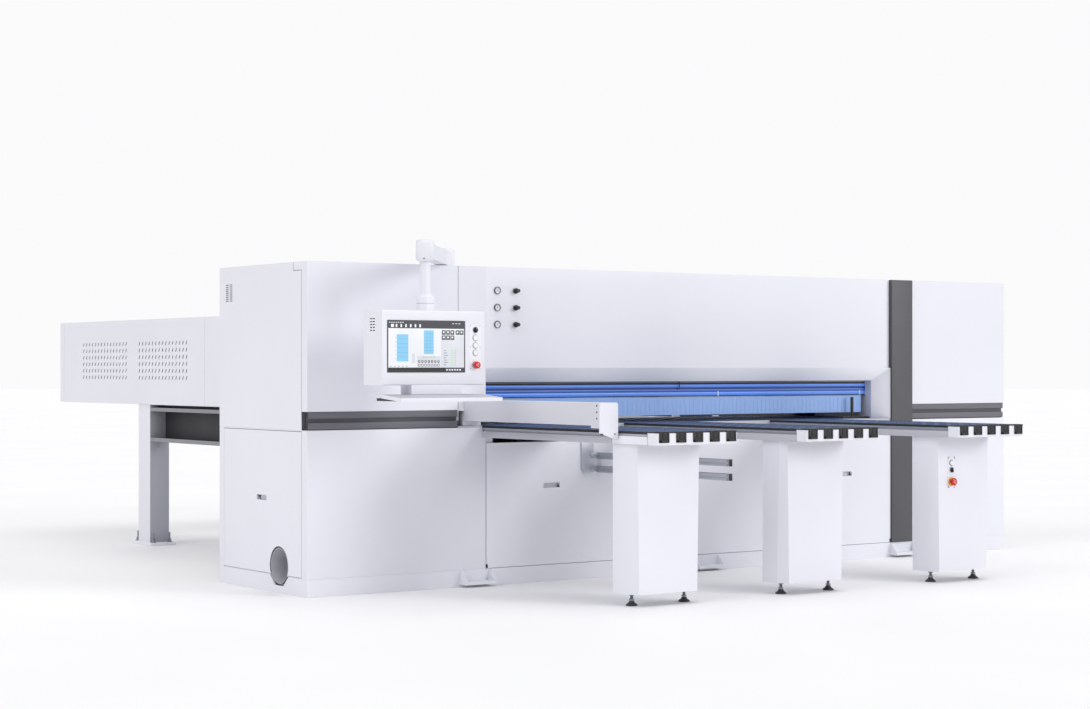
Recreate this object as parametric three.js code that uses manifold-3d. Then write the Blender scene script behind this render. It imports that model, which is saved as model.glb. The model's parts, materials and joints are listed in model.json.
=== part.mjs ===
// A beam saw: a long panel saw whose blade travels along a slot in the table, under a pressure beam.
// Millimetres, +Z up. +X runs along the cut, from the operator's left to the right, and +Y from the operator
// to the rear. The origin is on the floor, under the middle of the machine body.
// Inside each section X is counted from the body's left end and Y from its front face.
import * as THREE from 'three';
import { mergeVertices } from 'three/addons/utils/BufferGeometryUtils.js';
import Module from 'manifold-3d';

const wasm = await Module();
wasm.setup();

// Clearances and sheet metal
const fit = 0.3; // between two pieces that touch
const seam = 3; // visible joint between two covers
const sheet = 3; // thickness of a cover
const overrun = 20; // how far a cutting tool reaches past what it cuts

// Machine body
const bodyLength = 5650;
const bodyDepth = 1095;
const bodyHeight = 1900;
const plinthHeight = 100;
const rightCabinetLength = 918;
const lowerCabinetDrop = 11; // below the table top
const guideStripBand = 106; // from the lower cabinets to the upper ones
const stripLength = 1009;
const cornerLength = 196; // from the guide strip to the throat

// Plinth, its brackets and the welded base
const plinthPlate = 8;
const plinthSkirt = 12;
const centreBeamWidth = 200;
const bracketLength = 220;
const bracketReach = 68;
const bracketPlate = 18;
const bracketBottom = 16;
const bracketTop = 90;
const gussetThickness = 14;
const bracketInset = 72;
const bracketShare = 0.50947;
const bracketBeyond = 105;
const ribThickness = 60;
const uprightDepth = 80;
const guidePostDepth = 200;
const guideBeamFront = 540;
const guideBeamBottom = 250;
const guideBeamHeight = 430;
const guideBeamDepth = 200;
const guideBeamWall = 14;
const guideBeamInset = 60;
const railWidth = 30;
const railHeight = 22;
const railInset = 40;
const rackDepth = 20;

// Front service panels, with a recessed pull in each lift-off one
const panelTopDrop = 34;
const panelDepth = 20;
const frontPanelLength = 952;
const rightPanelLength = 846;
const pullLength = 122;
const pullHeight = 29;
const pullDepth = 26;
const pullWall = 2;
const frontPullHeight = 583;

// Left side panel of the lower cabinet
const sidePanelFront = 65;
const sidePanelBack = 1035;
const sidePanelDrop = 6;
const sidePullHeight = 541;
const jambLap = 20;

// Dust duct in the left side
const ductRadius = 105;
const ductWall = 4;
const ductLength = 260;
const ductPlace = 337;
const ductHeight = 156;
const ductClearance = 8;
const ductFlange = 16;
const ductNotchBottom = 42;
const ductNotchFoot = 52;

// Upper left cabinet and its front cover
const coverDepth = 65;
const coverReturn = 161;
const coverReturnHeight = 48;
const ventSlotLength = 36;
const ventSlotHeight = 5;
const ventSlotPitch = 12;
const ventSlotRows = 9;
const ventSlotColumns = 2;
const ventColumnPitch = 50;
const ventInset = 126;
const ventShare = 0.81808; // height of the vent on the upper cabinet

// Dark guide strips beside the throat
const stripBarHeight = 38;
const stripGroove = 25;
const stripGrooveDepth = 14;
const stripDepth = 65;
const stripInset = 6;
const stripProud = 4;

// Beam hood over the throat
const hoodLip = 86;
const throatHeight = 258;
const hoodChamfer = 80;
const gaugeRadius = 21.5;
const gaugeProud = 7;
const gaugePlace = 82;
const gaugeShares = [0.76617, 0.59701, 0.42952]; // heights on the hood's front
const gaugeRim = 3;
const gaugeGlassDepth = 3;

// Dark end column and right cabinet
const columnWidth = 194;
const columnProud = 12;
const columnRim = 110;
const columnOpeningTop = 1180;
const recessWidth = 41;
const recessDepth = 14;
const jambBevel = 106;
const jambDepth = 205;

// Saw table and saw line
const tableTop = 953;
const tablePlate = 25;

const tableSkirt = 14;
const sawLine = 300;
const sawSlot = 14;

// Saw carriage and saw unit, parked at the left
const carriageInset = 755;
const carriageLength = 800;
const carriagePlate = 22;
const carriageGap = 34;
const carriageHeight = 470;
const shoeLength = 200;
const railRunning = 0.6;
const liftGap = 1;
const liftPlate = 24;
const liftWidth = 420;
const liftHeight = 380;
const liftBottom = 330;
const liftGuideWidth = 40;
const liftGuideDepth = 26;
const bladeRadius = 200;
const bladeThickness = 4.4;
const bladeTeeth = 48;
const bladeToothDepth = 12;
const bladePlace = 350;
const bladeAxisHeight = 690;
const scorerRadius = 90;
const scorerThickness = 4.4;
const scorerTeeth = 24;
const scorerToothDepth = 6;
const scorerPlace = 660;
const scorerAxisHeight = 716;
const boreRadius = 15;
const flangeRadius = 55;
const flangeThickness = 9;
const nutShare = 0.75;
const arborRadius = 42;
const motorRadius = 105;
const motorLength = 130;
const hubClearance = 0.4;

// Pressure beam, its curtain and the side aligner
const pressureBeamFront = 225;
const pressureBeamDepth = 150;
const pressureBeamBottom = 1112;
const pressureBeamHeight = 210;
const pressureBeamWall = 12;
const pressureBeamSlot = 60;
const curtainRailFront = 128;
const curtainRailDepth = 30;
const curtainRailBottom = 1111;
const curtainRailGroove = 8;
const curtainRailShares = [0.4333, 0.5, 0.6667, 0.8333]; // heights of its lip, groove, slope and neck
const curtainEnd = 18;
const curtainRailEnd = 6;
const curtainPlace = 141;
const curtainHem = 22;
const curtainBottom = 960;
const stripPitch = 36;
const stripCut = 3;
const curtainThickness = 3;
const alignerInset = 225;
const alignerLeft = 93;
const alignerRight = 150;
const alignerDepth = 22;
const alignerHeight = 12;
const alignerRodRadius = 11;
const alignerRodTop = 1098;
const alignerFront = 88;

// Regulator knobs on the hood
const knobPlace = 212;
const knobRadius = 11.5;
const knobLength = 42;
const knobCollarRadius = 16.5;
const knobCollarLength = 18;

// Air tables
const airTableShares = [0.39375, 0.75473]; // places of the second and third across the throat
const fenceTableGap = 6;
const airTableWidth = 550;
const airTableEnd = 1600;
const airTableThickness = 71;
const airTableSide = 40;
const airTableGroove = 9;
const airTableGrooveShare = 0.3333;
const airTableGrooveDepth = 12;
const airTableSkin = 6;
const endCapLength = 88;
const endCapSlope = 69;
const endCapHeight = 72;
const bumperCount = 5;
const bumperWidth = 66;
const bumperPitch = 116;
const bumperProud = 7;
const bumperTop = 3;
const bumperDrop = 56;
const bumperLap = 46;

// Pedestals and their feet
const pedestalShifts = [-12, 6, 9]; // from the middles of the air tables
const pedestalWidth = 480;
const pedestalDepth = 187;
const pedestalInset = 150;
const pedestalBottom = 66;
const pedestalFaceShares = [0.896, 0.84];
const pedestalSideShares = [0.78, 0.66];
const pedestalWall = 5;
const pedestalFlange = 14;
const footPitch = 366;
const footPlace = 94;
const footRadius = 32;
const footHeight = 24;
const footTopRadius = 16;
const stemRadius = 9;

// Operator's switches on the right pedestal
const switchPlace = -102;
const switchPlateWidth = 62;
const switchPlateHeight = 190;
const switchPlateTop = 760;
const switchPlateThickness = 2;
const pedestalButtonRadius = 14;
const pedestalButtonDrop = 38;
const pedestalSelectorDrop = 82;
const pedestalStopDrop = 152;
const pedestalStopRadius = 23;

// Fence beside the left air table
const fenceGap = 42;
const fenceWidth = 123;
const fenceBottom = 983;
const fenceTop = 1107;
const fenceInset = 261;
const fenceWall = 6;
const fenceTongue = 60;
const fenceTongueTop = 1040;
const fenceCoverLength = 12;
const fenceCoverLeftBottom = 943;
const fenceCoverRightBottom = 908;
const fenceCoverRadius = 8;
const fenceCoverFlat = 20;
const fenceBracketLength = 73;
const fenceBracketPlate = 14;
const fenceBracketReach = 52;
const fenceBracketFoot = 44;

// Accessory rails under the air tables
const accessoryShare = 0.41667; // place between the first two air tables
const accessoryWidth = 90;
const accessoryBottom = 649;
const accessoryPlate = 10;
const accessoryCorner = 22;
const accessoryRailGap = 51;
const accessoryRailWidth = 40;
const accessoryRailInset = 355;
const accessoryRailHeights = [754, 672];
const accessoryRailHeight = 40;
const accessoryRailGroove = 8;
const accessoryArmHeight = 30;
const accessoryTop = 930;

// Rear frame
const rearCoverLength = 4400;
const rearCoverBottom = 1028;
const rearCoverShare = 0.7156; // how far up it goes to the roof
const rearCoverWidth = 412;
const channelInset = 5;
const channelWidth = 130;
const channelBottom = 759;
const channelTop = 1007;
const channelWall = 14;
const postWidth = 152;
const postShare = 0.66614; // place of the post along the cover
const postDepth = 202;
const postPlateLength = 340;
const postPlateWidth = 200;
const postPlateThickness = 20;
const anchorRadius = 14;
const anchorHeight = 46;
const anchorInset = 36;
const rearSlotRows = 6;
const rearSlotColumns = 12;
const rearSlotPitchShare = 0.01659;
const rearSlotRowShare = 0.08013;
const rearSlotRiseShare = 0.048;
const rearSlotHeight = 10;
const rearSlotLean = 26;
const rearSlotGroupShares = [0.47614, 0.71091];
const rearSlotTopShare = 0.3077;

// Rear roller table
const rollerRailShares = [0.13075, 0.30809, 0.49744, 0.6868, 0.86414];
const rollerRailWidth = 56;
const rollerRailHeight = 70;
const rollerRailWall = 4;
const rollerRailInset = 250;
const rollersPerRail = 9;
const rollerRadius = 19;
const rollerSides = 8;
const crossBeamDepth = 100;
const crossBeamHeight = 100;
const crossBeamWall = 8;

// Pusher, parked at the rear
const pusherRailWidth = 44;
const pusherRailTop = 1150;
const pusherRailHeight = 50;
const pusherRailFront = 460;
const pusherInset = 235;
const pusherDepth = 150;
const pusherBottom = 1040;
const pusherHeight = 90;
const pusherWall = 8;
const pusherShoe = 34;
const pusherRunning = 1;
const gripperShares = [0.17583, 0.40727, 0.77096];
const gripperEarShare = 0.2;
const gripperWidth = 60;
const gripperReach = 300;
const gripperJawHeight = 16;
const gripperFloor = 958;
const gripperMouth = 50;
const gripperEarGap = 1;
const gripperPinRadius = 9;
const gripperPinHeight = 1070;
const gripperPinPlace = 60;
const gripperJawTip = 22;

// Console arm
const armPivotInset = 52;
const armPivotY = 215;
const consoleReachX = 614;
const consoleReachY = 752;
const armBaseRadius = 46;
const armLift = 4;
const armThickness = 84;
const armWidth = 70;
const headWidth = 98;
const headRise = 20;
const elbowRise = 26;
const headCorner = 22;
const spigotReach = 60;
const headDrop = 20.7;
const spigotRadius = 24;
const boreRadiusOfArm = 25.5;

// Console
const consoleWidth = 664;
const consoleDepth = 198;
const consoleHang = 682;
const consoleHeight = 411;
const consoleBack = 106;
const consoleCorner = 12;
const consoleWall = 4;
const postRadius = 31;
const postTurn = 22.5;
const collarRadius = 52;
const collarHeight = 92;
const collarBevel = 16;
const neckWidth = 328;
const neckShift = 22;
const neckHeight = 51;
const neckDepth = 120;
const screenLeft = 32;
const screenBottom = 70;
const screenWidth = 503;
const screenHeight = 286;
const screenProud = 2;
const screenDepth = 16;
const consoleVentRows = 5;
const consoleVentPitch = 16;
const consoleVentLength = 22;
const consoleVentHeight = 6;
const consoleVentTop = 364;
const consoleVentPlaces = [78, 108];
const trayWidth = 654;
const trayFront = 284;
const trayFold = 78;
const trayBack = 26;
const trayDrop = 17;
const traySheet = 4;
const trayLip = 20;

// Console push buttons
const buttonColumn = 603;
const buttonRadius = 11;
const buttonRim = 15;
const buttonProud = 8;
const buttonTravel = 4;
const buttonBore = 14;
const buttonHeights = [263, 221, 180];
const selectorHeight = 307;
const selectorProud = 16;
const selectorGripShare = 0.3;
const stopHeight = 111;
const stopRadius = 20;
const stopProud = 30;
const stopCapShares = [[0, 1], [0.7, 1], [1, 0.8], [1, 0.55], [0.6, 0.4]]; // radius and height

// Places that follow from the sizes above
const leftCabinetLength = stripLength + cornerLength;
const rightCabinetLeft = bodyLength - rightCabinetLength;
const columnRight = rightCabinetLeft - seam;
const columnLeft = columnRight - columnWidth;
const jambRight = columnLeft - seam;
const jambLeft = jambRight - jambBevel;
const hoodRight = jambRight - recessWidth;
const throatLength = jambRight - leftCabinetLength;
const acrossThroat = (share) => leftCabinetLength + share * throatLength;
const lowerCabinetTop = tableTop - lowerCabinetDrop;
const upperCabinetBottom = lowerCabinetTop + guideStripBand;
const hoodUnderside = tableTop + throatHeight;
const hoodFrontEdge = hoodUnderside + hoodLip;
const tableSkirtBottom = tableTop - airTableThickness;
const uprightFront = panelDepth + fit;
const uprightTop = tableSkirtBottom - fit;
const tableRight = jambRight - fit;
const bracketPlaces = [leftCabinetLength - bracketInset, acrossThroat(bracketShare),
  columnLeft + bracketBeyond];
const panelTop = tableSkirtBottom - panelTopDrop;
const rightPanelLeft = columnLeft - seam - rightPanelLength;
const sidePanelTop = lowerCabinetTop - sidePanelDrop;
const ventPlace = bodyDepth - ventInset;
const ventHeight = upperCabinetBottom + ventShare * (bodyHeight - upperCabinetBottom);
const gaugeHeights = gaugeShares.map((share) => hoodFrontEdge + share * (bodyHeight - hoodFrontEdge));
const carriageLeft = leftCabinetLength - carriageInset;
const alignerPlace = hoodRight - alignerInset;
const fenceLeft = stripLength + fenceGap;
const fenceFront = airTableEnd - fenceInset;
const airTableCentres = [fenceLeft + fenceWidth + fenceTableGap + airTableWidth / 2,
  ...airTableShares.map(acrossThroat)];
const pedestalCentres = airTableCentres.map((centre, i) => centre + pedestalShifts[i]);
const pedestalFront = airTableEnd - pedestalInset;
const accessoryRoom = airTableCentres[1] - airTableCentres[0] - airTableWidth - accessoryWidth;
const accessoryLeft = airTableCentres[0] + airTableWidth / 2 + accessoryShare * accessoryRoom;
const accessoryRailPlace = accessoryLeft + accessoryWidth + accessoryRailGap;
const accessoryRailReach = airTableEnd - accessoryRailInset;
const rearCoverLeft = leftCabinetLength - seam - rearCoverWidth;
const rearCoverTop = rearCoverBottom + rearCoverShare * (bodyHeight - rearCoverBottom);
const channelLeft = rearCoverLeft + channelInset;
const postPlace = rearCoverLength * postShare;
const rollerRailPlaces = rollerRailShares.map(acrossThroat);
const rollerRailLength = rearCoverLength - rollerRailInset;
const pusherPlace = bodyDepth + rearCoverLength - pusherInset;
const gripperPlaces = gripperShares.map(acrossThroat);
const gripperEar = gripperWidth * gripperEarShare;
const armPivotX = stripLength + armPivotInset;
const consoleX = armPivotX - consoleReachX;
const consoleY = armPivotY - consoleReachY;
const armBottom = bodyHeight + armLift;
const armUpper = armBottom + armThickness;
const headTop = armUpper + headRise;
const elbowTop = armUpper + elbowRise;
const headBottom = armBottom - headDrop;
const postTop = headBottom - fit;
const consoleBottom = postTop - consoleHang;
const consoleTop = consoleBottom + consoleHeight;
const trayTop = consoleBottom - neckHeight;

const paint = (color, roughness, metalness = 0.1) => new THREE.MeshStandardMaterial({
  color, roughness, metalness,
});
const whitePaint = paint(0xe6e6f0, 0.45);
const greyPaint = paint(0xb9bac2, 0.5);
const darkPaint = paint(0x58585e, 0.5);
const blackPlastic = paint(0x1d1d20, 0.6, 0);
const whitePlastic = paint(0xf2f2f4, 0.4, 0);
const redPlastic = paint(0xc81e28, 0.4, 0);
const screenGlass = paint(0x1a2230, 0.15, 0);
const curtainPlastic = paint(0x7fa4dc, 0.3, 0);
const aluminium = paint(0xb4b8bf, 0.35, 0.9);
const bladeSteel = paint(0xc4c7cb, 0.25, 1);
const machinedSteel = paint(0x8d9096, 0.35, 1);
const tableGrey = paint(0x3c4048, 0.4, 0.3);

const machine = new THREE.Group();
machine.position.set(-bodyLength / 2, -bodyDepth / 2, 0);
const beamSaw = new THREE.Group();
beamSaw.add(machine);

// Solid helpers
function solidOf(geometry) {
  geometry.deleteAttribute('normal');
  geometry.deleteAttribute('uv');
  const merged = mergeVertices(geometry);
  return new wasm.Manifold(new wasm.Mesh({
    numProp: 3,
    vertProperties: merged.attributes.position.array,
    triVerts: Uint32Array.from(merged.index.array),
  }));
}

function geometryOf(solid) {
  const mesh = solid.getMesh();
  const geometry = new THREE.BufferGeometry();
  geometry.setAttribute('position', new THREE.BufferAttribute(mesh.vertProperties, 3));
  geometry.setIndex(new THREE.BufferAttribute(mesh.triVerts, 1));
  return geometry;
}

function addPiece(name, solid, material, group = machine) {
  const mesh = new THREE.Mesh(geometryOf(solid), material);
  mesh.name = name;
  group.add(mesh);
  return mesh;
}

// A block between two X, two Y and two Z values
function block(x0, x1, y0, y1, z0, z1) {
  const box = new THREE.BoxGeometry(x1 - x0, y1 - y0, z1 - z0);
  return solidOf(box.translate((x0 + x1) / 2, (y0 + y1) / 2, (z0 + z1) / 2));
}

function outlineShape(points) {
  return new THREE.Shape(points.map(([a, b]) => new THREE.Vector2(a, b)));
}

function extrude(shape, depth) {
  return new THREE.ExtrudeGeometry(shape, { depth, bevelEnabled: false, curveSegments: 6 });
}

// Prisms along an axis: the outline holds the other two coordinates, in their usual order
function prismX(points, x0, x1) {
  const turn = new THREE.Matrix4().set(0, 0, 1, x0, 1, 0, 0, 0, 0, 1, 0, 0, 0, 0, 0, 1);
  return solidOf(extrude(outlineShape(points), x1 - x0).applyMatrix4(turn));
}

function prismY(points, y0, y1) {
  return solidOf(extrude(outlineShape(points), y1 - y0).rotateX(Math.PI / 2).translate(0, y1, 0));
}

function prismZ(points, z0, z1) {
  return solidOf(extrude(outlineShape(points), z1 - z0).translate(0, 0, z0));
}

// A round bar along one axis, centred on the other two coordinates
function roundX(radius, x0, x1, y, z, sides = 24) {
  const bar = new THREE.CylinderGeometry(radius, radius, x1 - x0, sides);
  return solidOf(bar.rotateZ(Math.PI / 2).translate((x0 + x1) / 2, y, z));
}

function roundY(radius, y0, y1, x, z, sides = 24) {
  const bar = new THREE.CylinderGeometry(radius, radius, y1 - y0, sides);
  return solidOf(bar.translate(x, (y0 + y1) / 2, z));
}

function roundZ(radius, z0, z1, x, y, sides = 24) {
  const bar = new THREE.CylinderGeometry(radius, radius, z1 - z0, sides);
  return solidOf(bar.rotateX(Math.PI / 2).translate(x, y, (z0 + z1) / 2));
}

// A turned body about a vertical axis from [radius, height] points
function turned(points, x, y, sides = 24) {
  const lathe = new THREE.LatheGeometry(points.map(([r, z]) => new THREE.Vector2(r, z)), sides);
  return solidOf(lathe.rotateX(Math.PI / 2).translate(x, y, 0));
}

function joined(solids) {
  return solids.reduce((sum, next) => sum.add(next));
}

function cutFrom(solid, tools) {
  return tools.reduce((rest, tool) => rest.subtract(tool), solid);
}

// A rectangle with rounded corners as outline points
function roundedOutline(a0, a1, b0, b1, radius, steps = 4) {
  const corners = [[a1 - radius, b0 + radius, -1], [a1 - radius, b1 - radius, 0],
    [a0 + radius, b1 - radius, 1], [a0 + radius, b0 + radius, 2]];
  return corners.flatMap(([a, b, quarter]) => Array.from({ length: steps + 1 }, (_, i) => {
    const angle = (quarter + i / steps) * Math.PI / 2;
    return [a + radius * Math.cos(angle), b + radius * Math.sin(angle)];
  }));
}

// Plinth, front brackets, welded ribs and the guide beam of the saw carriage
function footBracket(centre) {
  const half = bracketLength / 2;
  const shelf = block(centre - half, centre + half, -bracketReach, plinthSkirt / 2, bracketBottom,
    bracketBottom + bracketPlate);
  const gusset = [[plinthSkirt / 2, bracketBottom], [-bracketReach, bracketBottom],
    [-bracketReach, bracketBottom + bracketPlate], [-gussetThickness, bracketTop],
    [plinthSkirt / 2, bracketTop]];
  return joined([shelf, prismX(gusset, centre - half, centre - half + gussetThickness),
    prismX(gusset, centre + half - gussetThickness, centre + half)]);
}

function guideBeam() {
  const back = guideBeamFront + guideBeamDepth;
  const top = guideBeamBottom + guideBeamHeight;
  const w = guideBeamWall;
  const channel = [[guideBeamFront, guideBeamBottom], [back, guideBeamBottom], [back, guideBeamBottom + w],
    [guideBeamFront + w, guideBeamBottom + w], [guideBeamFront + w, top - w], [back, top - w], [back, top],
    [guideBeamFront, top]];
  const x0 = guideBeamInset;
  const x1 = bodyLength - guideBeamInset;
  const rails = railCentres().map((z) => block(x0, x1, guideBeamFront - railHeight, guideBeamFront + w / 2,
    z - railWidth / 2, z + railWidth / 2));
  const middle = guideBeamBottom + guideBeamHeight / 2;
  const rack = block(x0, x1, guideBeamFront - rackDepth / 2, guideBeamFront + w / 2, middle - rackDepth / 2,
    middle + rackDepth / 2);
  return joined([prismX(channel, x0, x1), ...rails, rack]);
}

function railCentres() {
  return [guideBeamBottom + railInset, guideBeamBottom + guideBeamHeight - railInset];
}

function ribPlaces() {
  const first = leftCabinetLength + seam + ribThickness / 2;
  const last = columnLeft - seam - ribThickness / 2;
  return [first, leftCabinetLength + 2 * seam + frontPanelLength, rightPanelLeft - seam / 2, last];
}

function rib(centre) {
  const x0 = centre - ribThickness / 2;
  const x1 = centre + ribThickness / 2;
  const foot = plinthHeight - plinthPlate;
  const front = block(x0, x1, uprightFront, uprightFront + uprightDepth, foot, uprightTop);
  const rear = block(x0, x1, bodyDepth - uprightDepth, bodyDepth, foot, uprightTop);
  const post = block(x0, x1, guideBeamFront, guideBeamFront + guidePostDepth, foot,
    guideBeamBottom + guideBeamWall);
  return joined([front, rear, post]);
}

function ductNotch() {
  const reach = ductRadius + ductClearance;
  const notch = [[ductPlace - reach, plinthHeight + overrun], [ductPlace - reach, plinthHeight],
    [ductPlace - ductNotchFoot, ductNotchBottom], [ductPlace + ductNotchFoot, ductNotchBottom],
    [ductPlace + reach, plinthHeight], [ductPlace + reach, plinthHeight + overrun]];
  return prismX(notch, -overrun, ductLength + overrun);
}

function buildBaseFrame() {
  const shell = cutFrom(block(0, bodyLength, 0, bodyDepth, 0, plinthHeight), [
    block(plinthSkirt, bodyLength - plinthSkirt, plinthSkirt, (bodyDepth - centreBeamWidth) / 2, -overrun,
      plinthHeight - plinthPlate),
    block(plinthSkirt, bodyLength - plinthSkirt, (bodyDepth + centreBeamWidth) / 2, bodyDepth - plinthSkirt,
      -overrun, plinthHeight - plinthPlate),
  ]);
  const [, left, right] = ribPlaces();
  const x0 = left + seam;
  const x1 = right - seam;
  const fixedPanel = cutFrom(block(x0, x1, 0, panelDepth + overrun, plinthHeight + seam, panelTop), [
    block(x0 + sheet, x1 - sheet, sheet, panelDepth + overrun * 2, plinthHeight + seam + sheet,
      panelTop - sheet),
  ]);
  const backWall = block(leftCabinetLength + seam, columnLeft, bodyDepth - sheet, bodyDepth,
    plinthHeight - plinthPlate, uprightTop);
  const frame = joined([shell, fixedPanel, backWall, guideBeam(), ...ribPlaces().map(rib),
    ...bracketPlaces.map(footBracket)]);
  addPiece('base_frame', cutFrom(frame, [ductNotch()]), whitePaint);
}

// A lift-off cover: a shallow tray with folded edges and a recessed pull
function liftOffPanel(length, bottom, top, pullCentre, pullZ) {
  const tray = cutFrom(block(0, length, 0, panelDepth, bottom, top), [
    block(sheet, length - sheet, sheet, panelDepth + overrun, bottom + sheet, top - sheet)]);
  const x0 = pullCentre - pullLength / 2;
  const x1 = pullCentre + pullLength / 2;
  const z0 = pullZ - pullHeight / 2;
  const z1 = pullZ + pullHeight / 2;
  const w = pullWall;
  const pocket = block(x0 - w, x1 + w, sheet / 2, pullDepth + w, z0 - w, z1 + w);
  return tray.add(pocket).subtract(block(x0, x1, -overrun, pullDepth, z0, z1));
}

function buildFrontPanels() {
  const bottom = plinthHeight + seam;
  const left = liftOffPanel(frontPanelLength, bottom, panelTop, frontPanelLength / 2, frontPullHeight);
  addPiece('front_panel_left', left, whitePaint).position.x = leftCabinetLength + 2 * seam;
  const rightLength = columnLeft - seam - rightPanelLeft;
  const right = liftOffPanel(rightLength, bottom, panelTop, rightLength / 2, frontPullHeight);
  addPiece('front_panel_right', right, whitePaint).position.x = rightPanelLeft;
}

// Lower left cabinet: a carcass with a jamb for the side panel, open to the saw carriage
function buildLeftLowerCabinet() {
  const bottom = plinthHeight + fit;
  const jamb = uprightFront + sheet;
  const inner = guideBeamFront - guideBeamDepth;
  const carcass = cutFrom(block(0, leftCabinetLength, 0, bodyDepth, bottom, lowerCabinetTop), [
    block(jamb, leftCabinetLength - sheet, sheet, bodyDepth - sheet, bottom + sheet,
      lowerCabinetTop + overrun),
    block(-overrun, uprightFront, sidePanelFront, sidePanelBack, bottom + seam, sidePanelTop),
    block(-overrun, jamb + overrun, sidePanelFront + jambLap, sidePanelBack - jambLap, bottom + seam + jambLap,
      sidePanelTop - jambLap),
    block(leftCabinetLength - overrun, leftCabinetLength + overrun, inner / 2, bodyDepth - inner / 2,
      plinthHeight + jambLap * 2, lowerCabinetTop + overrun),
    ductRelief(),
  ]);
  addPiece('left_lower_cabinet', carcass, whitePaint);

  const length = sidePanelBack - sidePanelFront - 2 * seam;
  const panel = liftOffPanel(length, bottom + 2 * seam, sidePanelTop - seam, length / 2, sidePullHeight);
  const turnedPanel = panel.rotate([0, 0, -90]).translate([0, sidePanelBack - seam, 0]);
  addPiece('left_side_panel', turnedPanel.subtract(ductRelief()), whitePaint);
}

function ductRelief() {
  const inner = roundX(ductRadius + ductFlange + fit, uprightFront + sheet, ductLength, ductPlace, ductHeight);
  return roundX(ductRadius + ductClearance, -overrun, ductLength, ductPlace, ductHeight).add(inner);
}

function buildDustDuct() {
  const flangeX = uprightFront + sheet + fit;
  const tube = joined([roundX(ductRadius, sheet, ductLength, ductPlace, ductHeight),
    roundX(ductRadius + ductFlange, flangeX, flangeX + ductWall, ductPlace, ductHeight)]);
  const bore = roundX(ductRadius - ductWall, -overrun, ductLength + overrun, ductPlace, ductHeight);
  const floor = block(flangeX - overrun, ductLength, 0, bodyDepth, -bodyDepth, ductNotchBottom + fit);
  addPiece('dust_duct', tube.subtract(bore).subtract(floor), machinedSteel);
}

// Upper left cabinet, with the throat's end above the table, and its wrap-over front cover
function ventSlots() {
  const slots = [];
  for (let row = 0; row < ventSlotRows; row += 1) {
    for (let column = 0; column < ventSlotColumns; column += 1) {
      const y = ventPlace + (column - (ventSlotColumns - 1) / 2) * ventColumnPitch;
      const z = ventHeight + (row - (ventSlotRows - 1) / 2) * ventSlotPitch;
      slots.push(block(-overrun, sheet + overrun, y - ventSlotLength / 2, y + ventSlotLength / 2,
        z - ventSlotHeight / 2, z + ventSlotHeight / 2));
    }
  }
  return slots;
}

function buildLeftUpperCabinet() {
  const front = coverDepth + fit;
  const topCut = bodyHeight - coverReturnHeight - fit;
  const bottom = lowerCabinetTop + fit;
  const outer = joined([
    block(0, leftCabinetLength, front, bodyDepth, upperCabinetBottom, bodyHeight),
    block(stripLength + seam, leftCabinetLength, 0, front + sheet, upperCabinetBottom, bodyHeight),
    block(0, stripLength, front, bodyDepth, bottom, upperCabinetBottom + sheet),
  ]);
  const carcass = cutFrom(outer, [
    block(sheet, leftCabinetLength - sheet, front + sheet, bodyDepth - sheet, upperCabinetBottom + sheet,
      topCut - sheet),
    block(sheet, stripLength - sheet, front + sheet, bodyDepth - sheet, bottom - overrun,
      upperCabinetBottom + overrun),
    block(sheet, leftCabinetLength - sheet, coverReturn + sheet + fit, bodyDepth - sheet, topCut - overrun,
      bodyHeight - sheet),
    block(stripLength + seam + sheet, leftCabinetLength - sheet, sheet, coverReturn + overrun,
      upperCabinetBottom + sheet, bodyHeight - sheet),
    block(-overrun, stripLength + seam, -overrun, coverReturn + fit, topCut, bodyHeight + overrun),
    block(stripLength - overrun, stripLength + overrun, sawLine - overrun * 2, sawLine + overrun * 2,
      bottom - overrun, upperCabinetBottom),
    ...ventSlots(),
  ]);
  addPiece('left_upper_cabinet', carcass, whitePaint);

  const skin = [[0, upperCabinetBottom], [coverDepth, upperCabinetBottom],
    [coverDepth, bodyHeight - coverReturnHeight], [coverReturn, bodyHeight - coverReturnHeight],
    [coverReturn, bodyHeight], [0, bodyHeight]];
  const hollow = [[sheet, upperCabinetBottom + sheet], [coverDepth + overrun, upperCabinetBottom + sheet],
    [coverDepth + overrun, bodyHeight - coverReturnHeight - overrun],
    [coverReturn - sheet, bodyHeight - coverReturnHeight - overrun], [coverReturn - sheet, bodyHeight - sheet],
    [sheet, bodyHeight - sheet]];
  const cover = prismX(skin, 0, stripLength).subtract(prismX(hollow, sheet, stripLength - sheet));
  addPiece('left_upper_cover', cover, whitePaint);
}

// Dark guide strips: two proud bars with a groove between them
function guideStrip(length) {
  const z0 = lowerCabinetTop + stripProud;
  const z1 = z0 + stripBarHeight;
  const z2 = z1 + stripGroove;
  const z3 = upperCabinetBottom - fit;
  const y0 = stripProud;
  const y1 = stripProud + stripGrooveDepth;
  const back = stripDepth;
  const web = stripGrooveDepth / 2;
  return prismX([[y0, z0], [back, z0], [back, z0 + web], [y1 + web, z0 + web], [y1 + web, z3 - web],
    [back, z3 - web], [back, z3], [y0, z3], [y0, z2], [y1, z2], [y1, z1], [y0, z1]], 0, length);
}

function buildGuideStrips() {
  const foot = (length) => block(0, length, stripProud + stripGrooveDepth, stripDepth, lowerCabinetTop + fit,
    lowerCabinetTop + stripProud + stripGrooveDepth / 2);
  const leftLength = stripLength - stripInset;
  const left = guideStrip(leftLength).add(foot(leftLength));
  addPiece('left_guide_strip', left, darkPaint).position.x = stripInset;
  const rightLength = bodyLength - rightCabinetLeft - stripInset;
  const right = guideStrip(rightLength).add(foot(rightLength));
  addPiece('right_guide_strip', right, darkPaint).position.x = rightCabinetLeft;
}

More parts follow.
